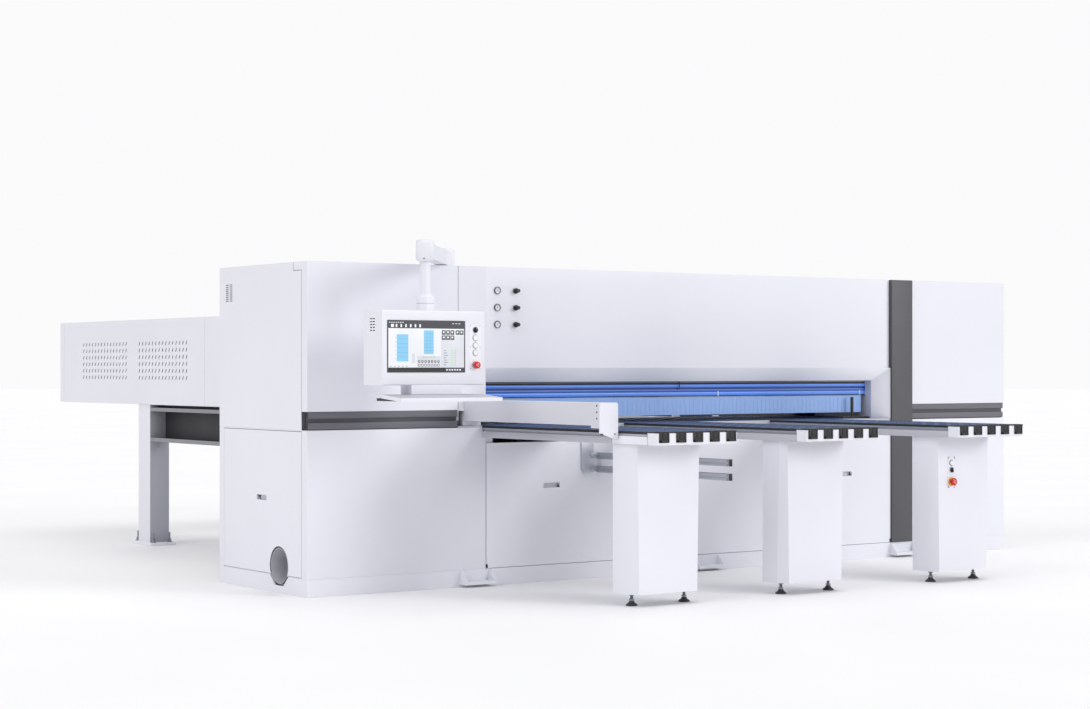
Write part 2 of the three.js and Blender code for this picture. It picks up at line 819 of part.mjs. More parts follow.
// Hood over the throat: a long chamfered shell, open below for the pressure beam, with three gauges,
// a recessed strip at its right end and a bevelled jamb that closes the throat
function gaugeBezel(height) {
  const x = leftCabinetLength + gaugePlace;
  const ring = roundY(gaugeRadius, -gaugeProud, sheet, x, height);
  return ring.subtract(roundY(gaugeRadius - gaugeRim, -gaugeProud - overrun, -gaugeProud + gaugeGlassDepth, x,
    height));
}

function jambSolid() {
  const x1 = jambRight - fit;
  const outline = [[jambLeft, hoodChamfer], [x1, 0], [x1, jambDepth], [jambLeft, jambDepth]];
  const inner = [[jambLeft + sheet, hoodChamfer + sheet], [x1 - sheet, 2 * sheet],
    [x1 - sheet, jambDepth + overrun], [jambLeft + sheet, jambDepth + overrun]];
  return prismZ(outline, tableTop + fit, hoodFrontEdge)
    .subtract(prismZ(inner, tableTop - overrun, hoodFrontEdge - sheet));
}

function buildHood() {
  const x0 = leftCabinetLength + fit;
  const x1 = jambRight - fit;
  const skin = [[0, hoodFrontEdge], [hoodChamfer, hoodUnderside], [bodyDepth, hoodUnderside],
    [bodyDepth, bodyHeight], [0, bodyHeight]];
  const hollow = [[sheet, hoodFrontEdge + sheet], [hoodChamfer + sheet, hoodUnderside + sheet],
    [bodyDepth - sheet, hoodUnderside + sheet], [bodyDepth - sheet, bodyHeight - sheet],
    [sheet, bodyHeight - sheet]];
  const recess = block(hoodRight, x1 + overrun, -overrun, recessDepth, hoodFrontEdge, bodyHeight + overrun);
  const recessBack = block(hoodRight - sheet, x1, 0, recessDepth + sheet, hoodFrontEdge, bodyHeight);
  const slot = block(x0 + sheet, x1 - sheet, pressureBeamFront - fit,
    pressureBeamFront + pressureBeamDepth + fit, hoodUnderside - overrun, hoodUnderside + overrun);
  const shell = prismX(skin, x0, x1).subtract(prismX(hollow, x0 + sheet, x1 - sheet)).subtract(slot);
  const body = joined([shell, recessBack]).subtract(recess);
  addPiece('beam_hood', joined([body, jambSolid(), ...gaugeHeights.map(gaugeBezel)]), whitePaint);
}

// Dark end column: a full-depth ring that lets the saw carriage through
function buildEndColumn() {
  const z0 = plinthHeight + fit;
  const shell = cutFrom(block(columnLeft, columnRight, -columnProud, bodyDepth, z0, bodyHeight), [
    block(columnLeft + sheet, columnRight - sheet, -columnProud + sheet, bodyDepth - sheet, z0 + sheet,
      bodyHeight - sheet),
    block(columnLeft - overrun, columnRight + overrun, columnRim, bodyDepth - columnRim, z0 + jambLap * 2,
      columnOpeningTop)]);
  addPiece('end_column', shell, darkPaint);
}

// Right cabinet, lower and upper, hollow for the saw carriage
function buildRightCabinet() {
  const bottom = plinthHeight + fit;
  const inner = guideBeamFront - guideBeamDepth;
  const x1 = bodyLength;
  const lower = cutFrom(block(rightCabinetLeft, x1, 0, bodyDepth, bottom, lowerCabinetTop), [
    block(rightCabinetLeft + sheet, x1 - sheet, sheet, bodyDepth - sheet, bottom + sheet,
      lowerCabinetTop + overrun),
    block(rightCabinetLeft - overrun, rightCabinetLeft + overrun, inner / 2, bodyDepth - inner / 2,
      plinthHeight + jambLap * 2, lowerCabinetTop + overrun),
  ]);
  addPiece('right_lower_cabinet', lower, whitePaint);

  const strip = stripDepth + fit;
  const upper = cutFrom(block(rightCabinetLeft, x1, 0, bodyDepth, lowerCabinetTop + fit, bodyHeight), [
    block(rightCabinetLeft - overrun, x1 + overrun, -overrun, strip, lowerCabinetTop - overrun,
      upperCabinetBottom),
    block(rightCabinetLeft + sheet, x1 - sheet, strip + sheet, bodyDepth - sheet, lowerCabinetTop - overrun,
      bodyHeight - sheet),
    block(rightCabinetLeft + sheet, x1 - sheet, sheet, strip + overrun, upperCabinetBottom + sheet,
      bodyHeight - sheet),
    block(rightCabinetLeft - overrun, rightCabinetLeft + overrun, sawLine - overrun * 2, sawLine + overrun * 2,
      lowerCabinetTop - overrun, upperCabinetBottom + overrun),
  ]);
  addPiece('right_upper_cabinet', upper, whitePaint);
}

// Saw table in two halves, one on each side of the slot for the blade
function tableHalf(y0, y1, skirtAtFront) {
  const x0 = stripLength + seam;
  const step = leftCabinetLength + seam;
  const x1 = tableRight;
  const plate = block(step, x1, y0, y1, tableTop - tablePlate, tableTop);
  const ledge = block(x0, step + overrun, y0, y1, lowerCabinetTop + fit, tableTop);
  const skirtY = skirtAtFront ? y0 : y1 - tableSkirt;
  const skirt = block(step, x1, skirtY, skirtY + tableSkirt, tableSkirtBottom, tableTop - tablePlate / 2);
  const seats = ribPlaces().map((x) => {
    const a = skirtAtFront ? uprightFront : y1 - uprightDepth;
    return block(Math.max(x - ribThickness / 2, step), Math.min(x + ribThickness / 2, x1), a, a + uprightDepth,
      tableSkirtBottom, tableTop - tablePlate / 2);
  });
  return joined([plate, ledge, skirt, ...seats]);
}

function buildSawTable() {
  addPiece('table_front', tableHalf(0, sawLine - sawSlot / 2, true), tableGrey);
  addPiece('table_rear', tableHalf(sawLine + sawSlot / 2, bodyDepth - fit, false), tableGrey);
}

// Circular blades: a toothed disc with gullets, made in the plane of the cut
function toothedDisc(radius, teeth, depth, thickness, y) {
  const shape = new THREE.Shape();
  const pitch = 2 * Math.PI / teeth;
  const toothShares = [[0, 1], [0.24, 1], [0.42, 0], [0.86, 0]];
  for (let tooth = 0; tooth < teeth; tooth += 1) {
    toothShares.forEach(([turn, height], i) => {
      const angle = (tooth + turn) * pitch;
      const r = radius - depth * (1 - height);
      shape[tooth + i === 0 ? 'moveTo' : 'lineTo'](r * Math.cos(angle), r * Math.sin(angle));
    });
  }
  const disc = extrude(shape, thickness).rotateX(Math.PI / 2).translate(0, thickness / 2, 0);
  return solidOf(disc).translate([0, y, 0]).subtract(roundY(boreRadius, -overrun + y, overrun + y, 0, 0));
}

// Saw carriage: a plate with bearing blocks on the guide rails and a vertical slide for the saw unit
const carriage = new THREE.Group();
carriage.position.set(carriageLeft, 0, 0);
machine.add(carriage);
const carriageBack = guideBeamFront - carriageGap;
const carriageFront = carriageBack - carriagePlate;
const liftBack = carriageFront - liftGuideDepth - liftGap;
const liftFront = liftBack - liftPlate;
const bladeX = bladePlace;
const scorerX = scorerPlace;

function buildCarriage() {
  const z0 = guideBeamBottom - railInset / 2;
  const plate = block(0, carriageLength, carriageFront, carriageBack, z0, z0 + carriageHeight);
  const shoeDepth = carriageGap - fit;
  const shoes = railCentres().flatMap((z) => [0, carriageLength - shoeLength].map((x) => cutFrom(
    block(x, x + shoeLength, carriageBack - carriagePlate / 2, carriageBack + shoeDepth, z - railWidth,
      z + railWidth),
    [block(x - overrun, x + carriageLength, guideBeamFront - railHeight - railRunning, guideBeamFront,
      z - railWidth / 2 - railRunning, z + railWidth / 2 + railRunning)],
  )));
  const middle = bladeX - liftWidth / 2;
  const guides = [middle, middle + liftWidth - liftGuideWidth].map((x) => block(x, x + liftGuideWidth,
    carriageFront - liftGuideDepth, carriageFront + carriagePlate / 2, z0 + liftPlate, z0 + carriageHeight));
  const drive = block(carriageLength - liftGuideWidth * 2, carriageLength - liftGuideWidth,
    carriageFront - liftGuideDepth, carriageFront + carriagePlate / 2, z0 + carriageHeight / 2,
    z0 + carriageHeight);
  const stop = block(middle + liftGuideWidth * 2, middle + liftWidth - liftGuideWidth * 2,
    liftFront, carriageFront + carriagePlate / 2, z0 + liftPlate, liftBottom - fit);
  addPiece('saw_carriage', joined([plate, ...shoes, ...guides, drive, stop]), darkPaint, carriage);
}

function arbor(x, z, discY, thickness, radius) {
  const inner = discY + thickness / 2 + fit;
  const backFlange = roundY(radius, inner, inner + flangeThickness, x, z, 16);
  const housing = roundY(arborRadius, inner + flangeThickness / 2, liftFront + liftPlate / 2, x, z, 16);
  const spindle = roundY(boreRadius - hubClearance, discY - thickness / 2 - fit - flangeThickness / 2,
    inner + flangeThickness / 2, x, z, 16);
  const outer = discY - thickness / 2 - fit;
  const nut = roundY(radius * nutShare, outer - flangeThickness, outer, x, z, 16);
  return joined([backFlange, housing, spindle, nut]);
}

function buildSawUnit() {
  const x0 = bladeX - liftWidth / 2;
  const plate = block(x0, x0 + liftWidth, liftFront, liftBack, liftBottom, liftBottom + liftHeight);
  const arm = block(bladeX, scorerX + arborRadius, liftFront, liftBack, liftBottom + liftHeight / 2,
    scorerAxisHeight + arborRadius);
  const motorZ = liftBottom + motorRadius;
  const motor = roundY(motorRadius, liftFront - motorLength, liftFront + liftPlate / 2, bladeX - liftWidth / 2
    + motorRadius, motorZ);
  addPiece('saw_unit', joined([plate, arm, motor,
    arbor(bladeX, bladeAxisHeight, sawLine, bladeThickness, flangeRadius),
    arbor(scorerX, scorerAxisHeight, sawLine, scorerThickness, arborRadius)]), machinedSteel, carriage);
  const main = toothedDisc(bladeRadius, bladeTeeth, bladeToothDepth, bladeThickness, sawLine);
  addPiece('main_blade', main, bladeSteel, carriage).position.set(bladeX, 0, bladeAxisHeight);
  const scorer = toothedDisc(scorerRadius, scorerTeeth, scorerToothDepth, scorerThickness, sawLine);
  addPiece('scoring_blade', scorer, bladeSteel, carriage).position.set(scorerX, 0, scorerAxisHeight);
}

// Pressure beam: a U section whose two lips clamp the panel on each side of the saw line
function buildPressureBeam() {
  const y0 = pressureBeamFront;
  const y1 = y0 + pressureBeamDepth;
  const z0 = pressureBeamBottom;
  const z1 = z0 + pressureBeamHeight;
  const w = pressureBeamWall;
  const slot = [sawLine - pressureBeamSlot / 2, sawLine + pressureBeamSlot / 2];
  const section = [[y0, z0], [slot[0], z0], [slot[0], z0 + w], [y0 + w, z0 + w], [y0 + w, z1 - w],
    [y1 - w, z1 - w], [y1 - w, z0 + w], [slot[1], z0 + w], [slot[1], z0], [y1, z0], [y1, z1], [y0, z1]];
  const beam = prismX(section, leftCabinetLength + curtainEnd, tableRight - curtainEnd);
  addPiece('pressure_beam', beam, aluminium);
}

function buildCurtain() {
  const x0 = leftCabinetLength + curtainEnd;
  const x1 = jambLeft - curtainRailEnd;
  const y0 = curtainRailFront;
  const y1 = y0 + curtainRailDepth;
  const z0 = curtainRailBottom;
  const z1 = hoodUnderside - fit;
  const [lip, groove, slope, neck] = curtainRailShares.map((share) => z0 + share * (z1 - z0));
  const g = curtainRailGroove;
  const section = [[y0, z0], [y1, z0], [y1, z1], [y0 + g, z1], [y0 + g, neck], [y0, slope],
    [y0, groove], [y0 + g, groove], [y0 + g, lip], [y0, lip]];
  addPiece('curtain_rail', prismX(section, x0, x1), aluminium);

  const top = curtainRailBottom - fit;
  const strips = Math.floor((x1 - x0) / stripPitch);
  const comb = [[x0, top]];
  for (let i = 0; i < strips; i += 1) {
    const left = x0 + i * stripPitch;
    const right = left + stripPitch - stripCut;
    comb.push([left, curtainBottom], [right, curtainBottom]);
    if (i < strips - 1) comb.push([right, top - curtainHem], [left + stripPitch, top - curtainHem]);
  }
  comb.push([x0 + strips * stripPitch - stripCut, top]);
  addPiece('strip_curtain', prismY(comb, curtainPlace, curtainPlace + curtainThickness), curtainPlastic);
}

// Side aligner: a bar low on the table with an upright rod that pushes the panel against the fence
function buildAligner() {
  const base = block(-alignerLeft, alignerRight, alignerFront, alignerFront + alignerDepth, tableTop + fit,
    tableTop + fit + alignerHeight);
  const rod = roundZ(alignerRodRadius, tableTop + alignerHeight / 2, alignerRodTop, 0,
    alignerFront + alignerDepth / 2, 12);
  addPiece('side_aligner', base.add(rod), blackPlastic).position.x = alignerPlace;
}

function buildKnobs() {
  gaugeHeights.forEach((height, i) => {
    const collar = roundY(knobCollarRadius, -knobCollarLength, -fit, 0, 0, 16);
    const grip = roundY(knobRadius, -knobLength, -knobCollarLength / 2, 0, 0, 16);
    const knob = addPiece(`regulator_knob_${i + 1}`, collar.add(grip), blackPlastic);
    knob.position.set(leftCabinetLength + knobPlace, 0, height);
  });
}

// Air tables: a grooved aluminium tray under a flat top, with a slanted end cap and rubber bumpers
function airTableSolid() {
  const half = airTableWidth / 2;
  const z0 = tableTop - airTableThickness;
  const z1 = tableTop;
  const g = airTableGrooveDepth;
  const mid = z1 - airTableThickness * airTableGrooveShare;
  const section = [[-half, z0], [-half + airTableSide, z0], [-half + airTableSide, z1 - airTableSkin],
    [half - airTableSide, z1 - airTableSkin], [half - airTableSide, z0], [half, z0],
    [half, mid - airTableGroove], [half - g, mid - airTableGroove], [half - g, mid], [half, mid], [half, z1],
    [-half, z1], [-half, mid], [-half + g, mid], [-half + g, mid - airTableGroove],
    [-half, mid - airTableGroove]];
  const slab = prismY(section, -airTableEnd, -fit);
  const ties = [[-airTableEnd, -airTableEnd + airTableSide], [-pedestalFront, -pedestalFront + pedestalDepth],
    [-airTableSide, -fit]].map(([a, b]) => block(-half + airTableSide / 2, half - airTableSide / 2, a, b,
    z0 + airTableGroove, z1 - airTableSkin / 2));
  return joined([slab, ...ties]);
}

function endCapSolid() {
  const half = airTableWidth / 2;
  const y0 = -airTableEnd - fit;
  const top = tableTop;
  const bottom = tableTop - endCapHeight;
  const wedge = prismX([[y0, bottom], [y0, top], [y0 - endCapLength, top],
    [y0 - endCapLength + endCapSlope, bottom]], -half, half);
  const normalShare = bumperProud / endCapHeight;
  const bumpers = Array.from({ length: bumperCount }, (_, i) => {
    const x = (i - (bumperCount - 1) / 2) * bumperPitch;
    const lift = endCapSlope * bumperDrop / endCapHeight;
    const y = y0 - endCapLength;
    return prismX([[y + bumperLap, top - bumperTop], [y + bumperLap, top + bumperTop],
      [y - bumperProud, top + bumperTop], [y - bumperProud + lift, top - bumperDrop],
      [y + lift + bumperProud * normalShare, top - bumperDrop]], x - bumperWidth / 2, x + bumperWidth / 2);
  });
  return joined([wedge, ...bumpers]);
}

function buildAirTables() {
  airTableCentres.forEach((centre, i) => {
    const table = new THREE.Group();
    table.position.x = centre;
    machine.add(table);
    addPiece(`air_table_${i + 1}`, airTableSolid(), tableGrey, table);
    addPiece(`table_end_cap_${i + 1}`, endCapSolid(), whitePaint, table);
  });
}

// Pedestals: a tapered box whose front corners are cut back more towards the floor, on two levelling feet
function pedestalSolid() {
  const half = pedestalWidth / 2;
  const top = tableTop - airTableThickness - fit;
  const section = (faceShare, sideShare) => {
    const face = half * faceShare;
    const back = pedestalDepth;
    const side = pedestalDepth * (1 - sideShare);
    return [[-half, back], [-half, side], [-face, 0], [face, 0], [half, side], [half, back]];
  };
  const low = section(pedestalFaceShares[1], pedestalSideShares[1]);
  const high = section(pedestalFaceShares[0], pedestalSideShares[0]);
  const box = loft(low, pedestalBottom, high, top);
  const inward = (points) => points.map(([x, y]) => [x * (1 - pedestalWall / half),
    pedestalWall + y * (1 - 2 * pedestalWall / pedestalDepth)]);
  const hollow = loft(inward(low), pedestalBottom - pedestalWall, inward(high), top - pedestalWall);
  const sole = block(-half + pedestalWall, half - pedestalWall, pedestalDepth * (1 - pedestalSideShares[1]),
    pedestalDepth - pedestalWall, pedestalBottom, pedestalBottom + pedestalFlange);
  const feet = [-footPitch / 2, footPitch / 2].map((x) => turned([[0, 0], [footRadius, 0],
    [footRadius, footHeight / 4], [footTopRadius, footHeight], [stemRadius, footHeight],
    [stemRadius, pedestalBottom + pedestalFlange / 2], [0, pedestalBottom + pedestalFlange / 2]], x,
  pedestalDepth - footPlace, 8));
  return joined([box.subtract(hollow), sole, ...feet]);
}

// A solid between two outlines with the same number of points, at two heights
function loft(low, z0, high, z1) {
  const points = [...low.map(([x, y]) => [x, y, z0]), ...high.map(([x, y]) => [x, y, z1])].flat();
  const n = low.length;
  const faces = THREE.ShapeUtils.triangulateShape(low.map(([x, y]) => new THREE.Vector2(x, y)), []);
  const index = faces.flatMap(([a, b, c]) => [c, b, a, a + n, b + n, c + n]);
  for (let i = 0; i < n; i += 1) {
    const j = (i + 1) % n;
    index.push(i, j, j + n, i, j + n, i + n);
  }
  const geometry = new THREE.BufferGeometry();
  geometry.setAttribute('position', new THREE.Float32BufferAttribute(points, 3));
  const area = THREE.ShapeUtils.area(low.map(([x, y]) => new THREE.Vector2(x, y)));
  geometry.setIndex(area > 0 ? index : index.reverse());
  return solidOf(geometry);
}

function buildPedestals() {
  pedestalCentres.forEach((centre, i) => {
    const solid = i === pedestalCentres.length - 1 ? pedestalSolid().add(switchPlate()) : pedestalSolid();
    const cut = i === pedestalCentres.length - 1 ? solid.subtract(joined(switchBores())) : solid;
    addPiece(`pedestal_${i + 1}`, cut, whitePaint).position.set(centre, -pedestalFront, 0);
  });
}

function switchPlate() {
  return block(switchPlace - switchPlateWidth / 2, switchPlace + switchPlateWidth / 2, -switchPlateThickness,
    pedestalWall / 2, switchPlateTop - switchPlateHeight, switchPlateTop);
}

function switchBores() {
  return [pedestalButtonDrop, pedestalSelectorDrop, pedestalStopDrop].map((drop) => roundY(buttonRadius,
    -overrun, overrun, switchPlace, switchPlateTop - drop, 16));
}

// A push button: a stem in its bore and a cap proud of the panel
function pushButton(capRadius, proud) {
  const cap = roundY(capRadius, -proud, -buttonTravel - fit, 0, 0, 16);
  return cap.add(roundY(buttonRadius - 2 * fit, -(proud + buttonTravel) / 2, buttonBore, 0, 0, 12));
}

function selectorSwitch(radius, proud) {
  const base = pushButton(radius, proud / 2);
  const grip = radius * selectorGripShare;
  return base.add(block(-grip, grip, -proud, -proud * selectorGripShare, -radius, radius));
}

function stopButton(radius, proud) {
  const cap = stopCapShares.map(([across, out]) => [radius * across, proud * out]);
  const neck = radius * stopCapShares[stopCapShares.length - 1][0];
  const profile = [...cap, [neck, buttonProud], [buttonRadius - fit, buttonProud],
    [buttonRadius - fit, -buttonBore], [0, -buttonBore]];
  const lathe = new THREE.LatheGeometry(profile.map(([r, h]) => new THREE.Vector2(r, h)).reverse(), 16);
  return solidOf(lathe.rotateX(Math.PI));
}

function buildPedestalSwitches() {
  const panel = new THREE.Group();
  panel.position.set(pedestalCentres[pedestalCentres.length - 1] + switchPlace, -pedestalFront
    - switchPlateThickness, switchPlateTop);
  machine.add(panel);
  const button = pushButton(pedestalButtonRadius, buttonProud);
  addPiece('pedestal_button', button, whitePlastic, panel).position.z = -pedestalButtonDrop;
  const selector = selectorSwitch(pedestalButtonRadius, selectorProud);
  addPiece('pedestal_selector', selector, blackPlastic, panel).position.z = -pedestalSelectorDrop;
  const stop = stopButton(pedestalStopRadius, stopProud);
  addPiece('pedestal_stop_button', stop, redPlastic, panel).position.z = -pedestalStopDrop;
}

// Fence: a box beam beside the left air table, its front end in a moulded cover
function buildFence() {
  const x0 = fenceLeft;
  const x1 = fenceLeft + fenceWidth;
  const w = fenceWall;
  const beam = cutFrom(block(x0, x1, -fenceFront, -seam, fenceBottom, fenceTop), [
    block(x0 + w, x1 - w, -fenceFront - overrun, -seam - w, fenceBottom + w, fenceTop - w)]);
  const tongue = block(x0, x1, -seam - w, fenceTongue, fenceBottom, fenceTongueTop);
  const rearFoot = block(x0, x1, w, fenceTongue, tableTop + fit, fenceBottom + w);
  const bracketEnd = x1 + fenceBracketReach;
  const bracket = block(x0, bracketEnd, -fenceFront, -fenceFront + fenceBracketLength,
    fenceBottom - fenceBracketPlate, fenceBottom + w / 2);
  const frontFoot = block(bracketEnd - fenceBracketFoot, bracketEnd, -fenceFront,
    -fenceFront + fenceBracketLength, tableTop + fit, fenceBottom);
  addPiece('fence_beam', joined([beam, tongue, rearFoot, bracket, frontFoot]), whitePaint);

  const y1 = -fenceFront - fit;
  const outline = [[x0, fenceCoverLeftBottom], [x1 - fenceCoverFlat, fenceCoverRightBottom],
    [x1, fenceCoverRightBottom], [x1, fenceTop - fenceCoverRadius], [x1 - fenceCoverRadius, fenceTop],
    [x0 + fenceCoverRadius, fenceTop], [x0, fenceTop - fenceCoverRadius]];
  addPiece('fence_end_cover', prismY(outline, y1 - fenceCoverLength, y1), whitePaint);
}

// Accessory rails: two grooved profiles on a bracket plate at the machine's front
function buildAccessoryRails() {
  const plate = prismY([[accessoryLeft, accessoryTop], [accessoryLeft, accessoryBottom + accessoryCorner],
    [accessoryLeft + accessoryCorner, accessoryBottom], [accessoryLeft + accessoryWidth, accessoryBottom],
    [accessoryLeft + accessoryWidth, accessoryTop]], -accessoryPlate - fit, -fit);
  const g = accessoryRailGroove;
  const rails = accessoryRailHeights.flatMap((z) => {
    const h = accessoryRailHeight / 2;
    const w = accessoryRailWidth / 2;
    const x = accessoryRailPlace;
    const section = [[x - w, z - h], [x + w, z - h], [x + w, z - g / 2], [x + w - g, z - g / 2],
      [x + w - g, z + g / 2], [x + w, z + g / 2], [x + w, z + h], [x - w, z + h], [x - w, z + g / 2],
      [x - w + g, z + g / 2], [x - w + g, z - g / 2], [x - w, z - g / 2]];
    const arm = block(accessoryLeft + accessoryWidth - overrun, x, -accessoryPlate - fit - accessoryPlate / 2,
      -accessoryPlate / 2, z - accessoryArmHeight / 2, z + accessoryArmHeight / 2);
    return [prismY(section, -accessoryRailReach, -fit), arm];
  });
  addPiece('accessory_rails', joined([plate, ...rails]), aluminium);
}

// Rear frame: a channel and a post on each side, with the rail that the pusher runs on
const frameMiddle = (leftCabinetLength + jambRight) / 2;

function sideFrameSolid() {
  const x0 = channelLeft;
  const x1 = channelLeft + channelWidth;
  const w = channelWall;
  const y0 = bodyDepth + fit;
  const channel = [[x0 + w, channelBottom + w], [x0 + w, channelTop - w], [x1, channelTop - w],
    [x1, channelTop], [x0, channelTop], [x0, channelBottom], [x1, channelBottom], [x1, channelBottom + w]];
  const beam = prismY(channel, y0, bodyDepth + postPlace);
  const postY = bodyDepth + postPlace - postDepth;
  const post = cutFrom(block(x0, x0 + postWidth, postY, postY + postDepth, postPlateThickness / 2,
    rearCoverBottom - fit), [block(x0 + w, x0 + postWidth - w, postY + w, postY + postDepth - w,
    postPlateThickness + w, rearCoverBottom + overrun)]);
  const plateX = x0 + postWidth / 2 - postPlateWidth / 2;
  const plateY = postY + postDepth / 2 - postPlateLength / 2;
  const plate = block(plateX, plateX + postPlateWidth, plateY, plateY + postPlateLength, 0, postPlateThickness);
  const anchors = [[anchorInset, anchorInset], [postPlateWidth - anchorInset, anchorInset],
    [anchorInset, postPlateLength - anchorInset], [postPlateWidth - anchorInset, postPlateLength - anchorInset]]
    .map(([x, y]) => roundZ(anchorRadius, postPlateThickness / 2, anchorHeight, plateX + x, plateY + y, 6));
  return joined([beam, post, plate, ...anchors]);
}

// The rail reaches into the throat, and brackets carry it from the channel
function pusherRail() {
  const x0 = leftCabinetLength + seam;
  const x1 = x0 + pusherRailWidth;
  const z0 = pusherRailTop - pusherRailHeight;
  const rail = block(x0, x1, pusherRailFront, bodyDepth + rearCoverLength - seam, z0, pusherRailTop);
  const ledge = channelTop - channelWall;
  const postY = bodyDepth + postPlace - postDepth;
  const brackets = [bodyDepth + overrun, bodyDepth + postPlace / 2, postY].map((y) => joined([
    block(channelLeft + channelWidth / 2, x1, y, y + postWidth, ledge, rearCoverBottom - fit),
    block(x0, x1, y, y + postWidth, ledge, pusherRailTop - pusherRailHeight / 2)]));
  return joined([rail, ...brackets]);
}

function buildRearFrame() {
  const left = joined([sideFrameSolid(), pusherRail()]);
  addPiece('rear_frame_left', left, greyPaint);
  const right = left.mirror([1, 0, 0]).translate([2 * frameMiddle, 0, 0]);
  addPiece('rear_frame_right', right, greyPaint);
}

// Left rear cover: a long folded cover with two groups of slanted vent slots
function buildRearCover() {
  const x0 = rearCoverLeft;
  const x1 = rearCoverLeft + rearCoverWidth;
  const y0 = bodyDepth + fit;
  const y1 = bodyDepth + rearCoverLength;
  const shell = cutFrom(block(x0, x1, y0, y1, rearCoverBottom, rearCoverTop), [
    block(x0 + sheet, x1 - sheet, y0 + sheet, y1 - sheet, rearCoverBottom + sheet, rearCoverTop - sheet)]);
  const slots = [];
  const height = rearCoverTop - rearCoverBottom;
  for (const group of rearSlotGroupShares) {
    for (let row = 0; row < rearSlotRows; row += 1) {
      for (let column = 0; column < rearSlotColumns; column += 1) {
        const y = bodyDepth + rearCoverLength * (group + column * rearSlotPitchShare);
        const z = rearCoverTop - height * (rearSlotTopShare + row * rearSlotRowShare);
        const rise = height * rearSlotRiseShare;
        slots.push(prismX([[y, z], [y + rearSlotHeight, z], [y + rearSlotHeight + rearSlotLean, z + rise],
          [y + rearSlotLean, z + rise]], x0 - overrun, x0 + sheet + overrun));
      }
    }
  }
  addPiece('rear_cover_left', cutFrom(shell, slots), whitePaint);
}

// Rear roller table: five roller rails on two cross beams
function rollerRail(x) {
  const w = rollerRailWidth / 2;
  const t = rollerRailWall;
  const z1 = tableTop - rollerRadius;
  const z0 = z1 - rollerRailHeight;
  const y0 = bodyDepth + seam;
  const section = [[x - w, z0], [x + w, z0], [x + w, z1], [x + w - t, z1], [x + w - t, z0 + t * 2],
    [x - w + t, z0 + t * 2], [x - w + t, z1], [x - w, z1]];
  const channel = prismY(section, y0, y0 + rollerRailLength);
  const pitch = rollerRailLength / rollersPerRail;
  const rollers = Array.from({ length: rollersPerRail }, (_, i) => {
    const y = y0 + pitch * (i + 1 / 2);
    return roundX(rollerRadius, x - w + t / 2, x + w - t / 2, y, z1, rollerSides);
  });
  return joined([channel, ...rollers]);
}

function crossBeam(y) {
  const x0 = channelLeft + postWidth + fit;
  const x1 = 2 * frameMiddle - x0;
  const z1 = tableTop - rollerRadius - rollerRailHeight + rollerRailWall;
  const z0 = z1 - crossBeamHeight;
  const w = crossBeamWall;
  return cutFrom(block(x0, x1, y, y + crossBeamDepth, z0, z1), [
    block(x0 - overrun, x1 + overrun, y + w, y + crossBeamDepth - w, z0 - overrun, z1 - w)]);
}

function buildRollerTable() {
  const postY = bodyDepth + postPlace - postDepth;
  const beams = [bodyDepth + fit, postY + (postDepth - crossBeamDepth) / 2].map(crossBeam);
  addPiece('rear_roller_table', joined([...beams, ...rollerRailPlaces.map(rollerRail)]), aluminium);
}

// Pusher: a box beam on two rails, with grippers that hold the rear edge of the panel
function gripperBody(x) {
  const w = gripperWidth / 2;
  const y0 = -gripperReach;
  const top = pusherBottom + gripperJawHeight;
  const mouthTop = gripperFloor + gripperJawHeight + gripperMouth;
  const side = [[y0, gripperFloor], [overrun, gripperFloor], [overrun, top], [-gripperPinPlace * 2, top],
    [-gripperPinPlace * 2, gripperFloor + gripperJawHeight], [y0, gripperFloor + gripperJawHeight]];
  const ears = [-1, 1].map((s) => block(x + s * w - (s > 0 ? gripperEar : 0),
    x + s * w + (s < 0 ? gripperEar : 0), -gripperPinPlace * 2, overrun / 2, mouthTop - gripperMouth / 2,
    gripperPinHeight + gripperPinRadius * 2));
  const pin = roundX(gripperPinRadius, x - w + gripperEar / 2, x + w - gripperEar / 2, -gripperPinPlace,
    gripperPinHeight, 12);
  return joined([prismX(side, x - w, x + w), ...ears, pin]);
}

function jawSolid() {
  const w = gripperWidth / 2 - gripperEar - gripperEarGap;
  const mouthTop = gripperFloor + gripperJawHeight + gripperMouth;
  const eye = gripperPinRadius * 2;
  const tip = -gripperReach;
  const arm = [[tip, mouthTop - gripperJawTip], [tip + gripperJawTip, mouthTop - gripperJawTip],
    [tip + gripperJawTip * 2, mouthTop + gripperJawHeight / 2], [-gripperPinPlace, gripperPinHeight - eye],
    [-gripperPinPlace, gripperPinHeight + eye], [tip, mouthTop + gripperJawHeight]];
  const body = prismX(arm, -w, w).add(roundX(eye, -w, w, -gripperPinPlace, gripperPinHeight, 16));
  return body.subtract(roundX(gripperPinRadius + hubClearance, -w - overrun, w + overrun, -gripperPinPlace,
    gripperPinHeight, 12));
}

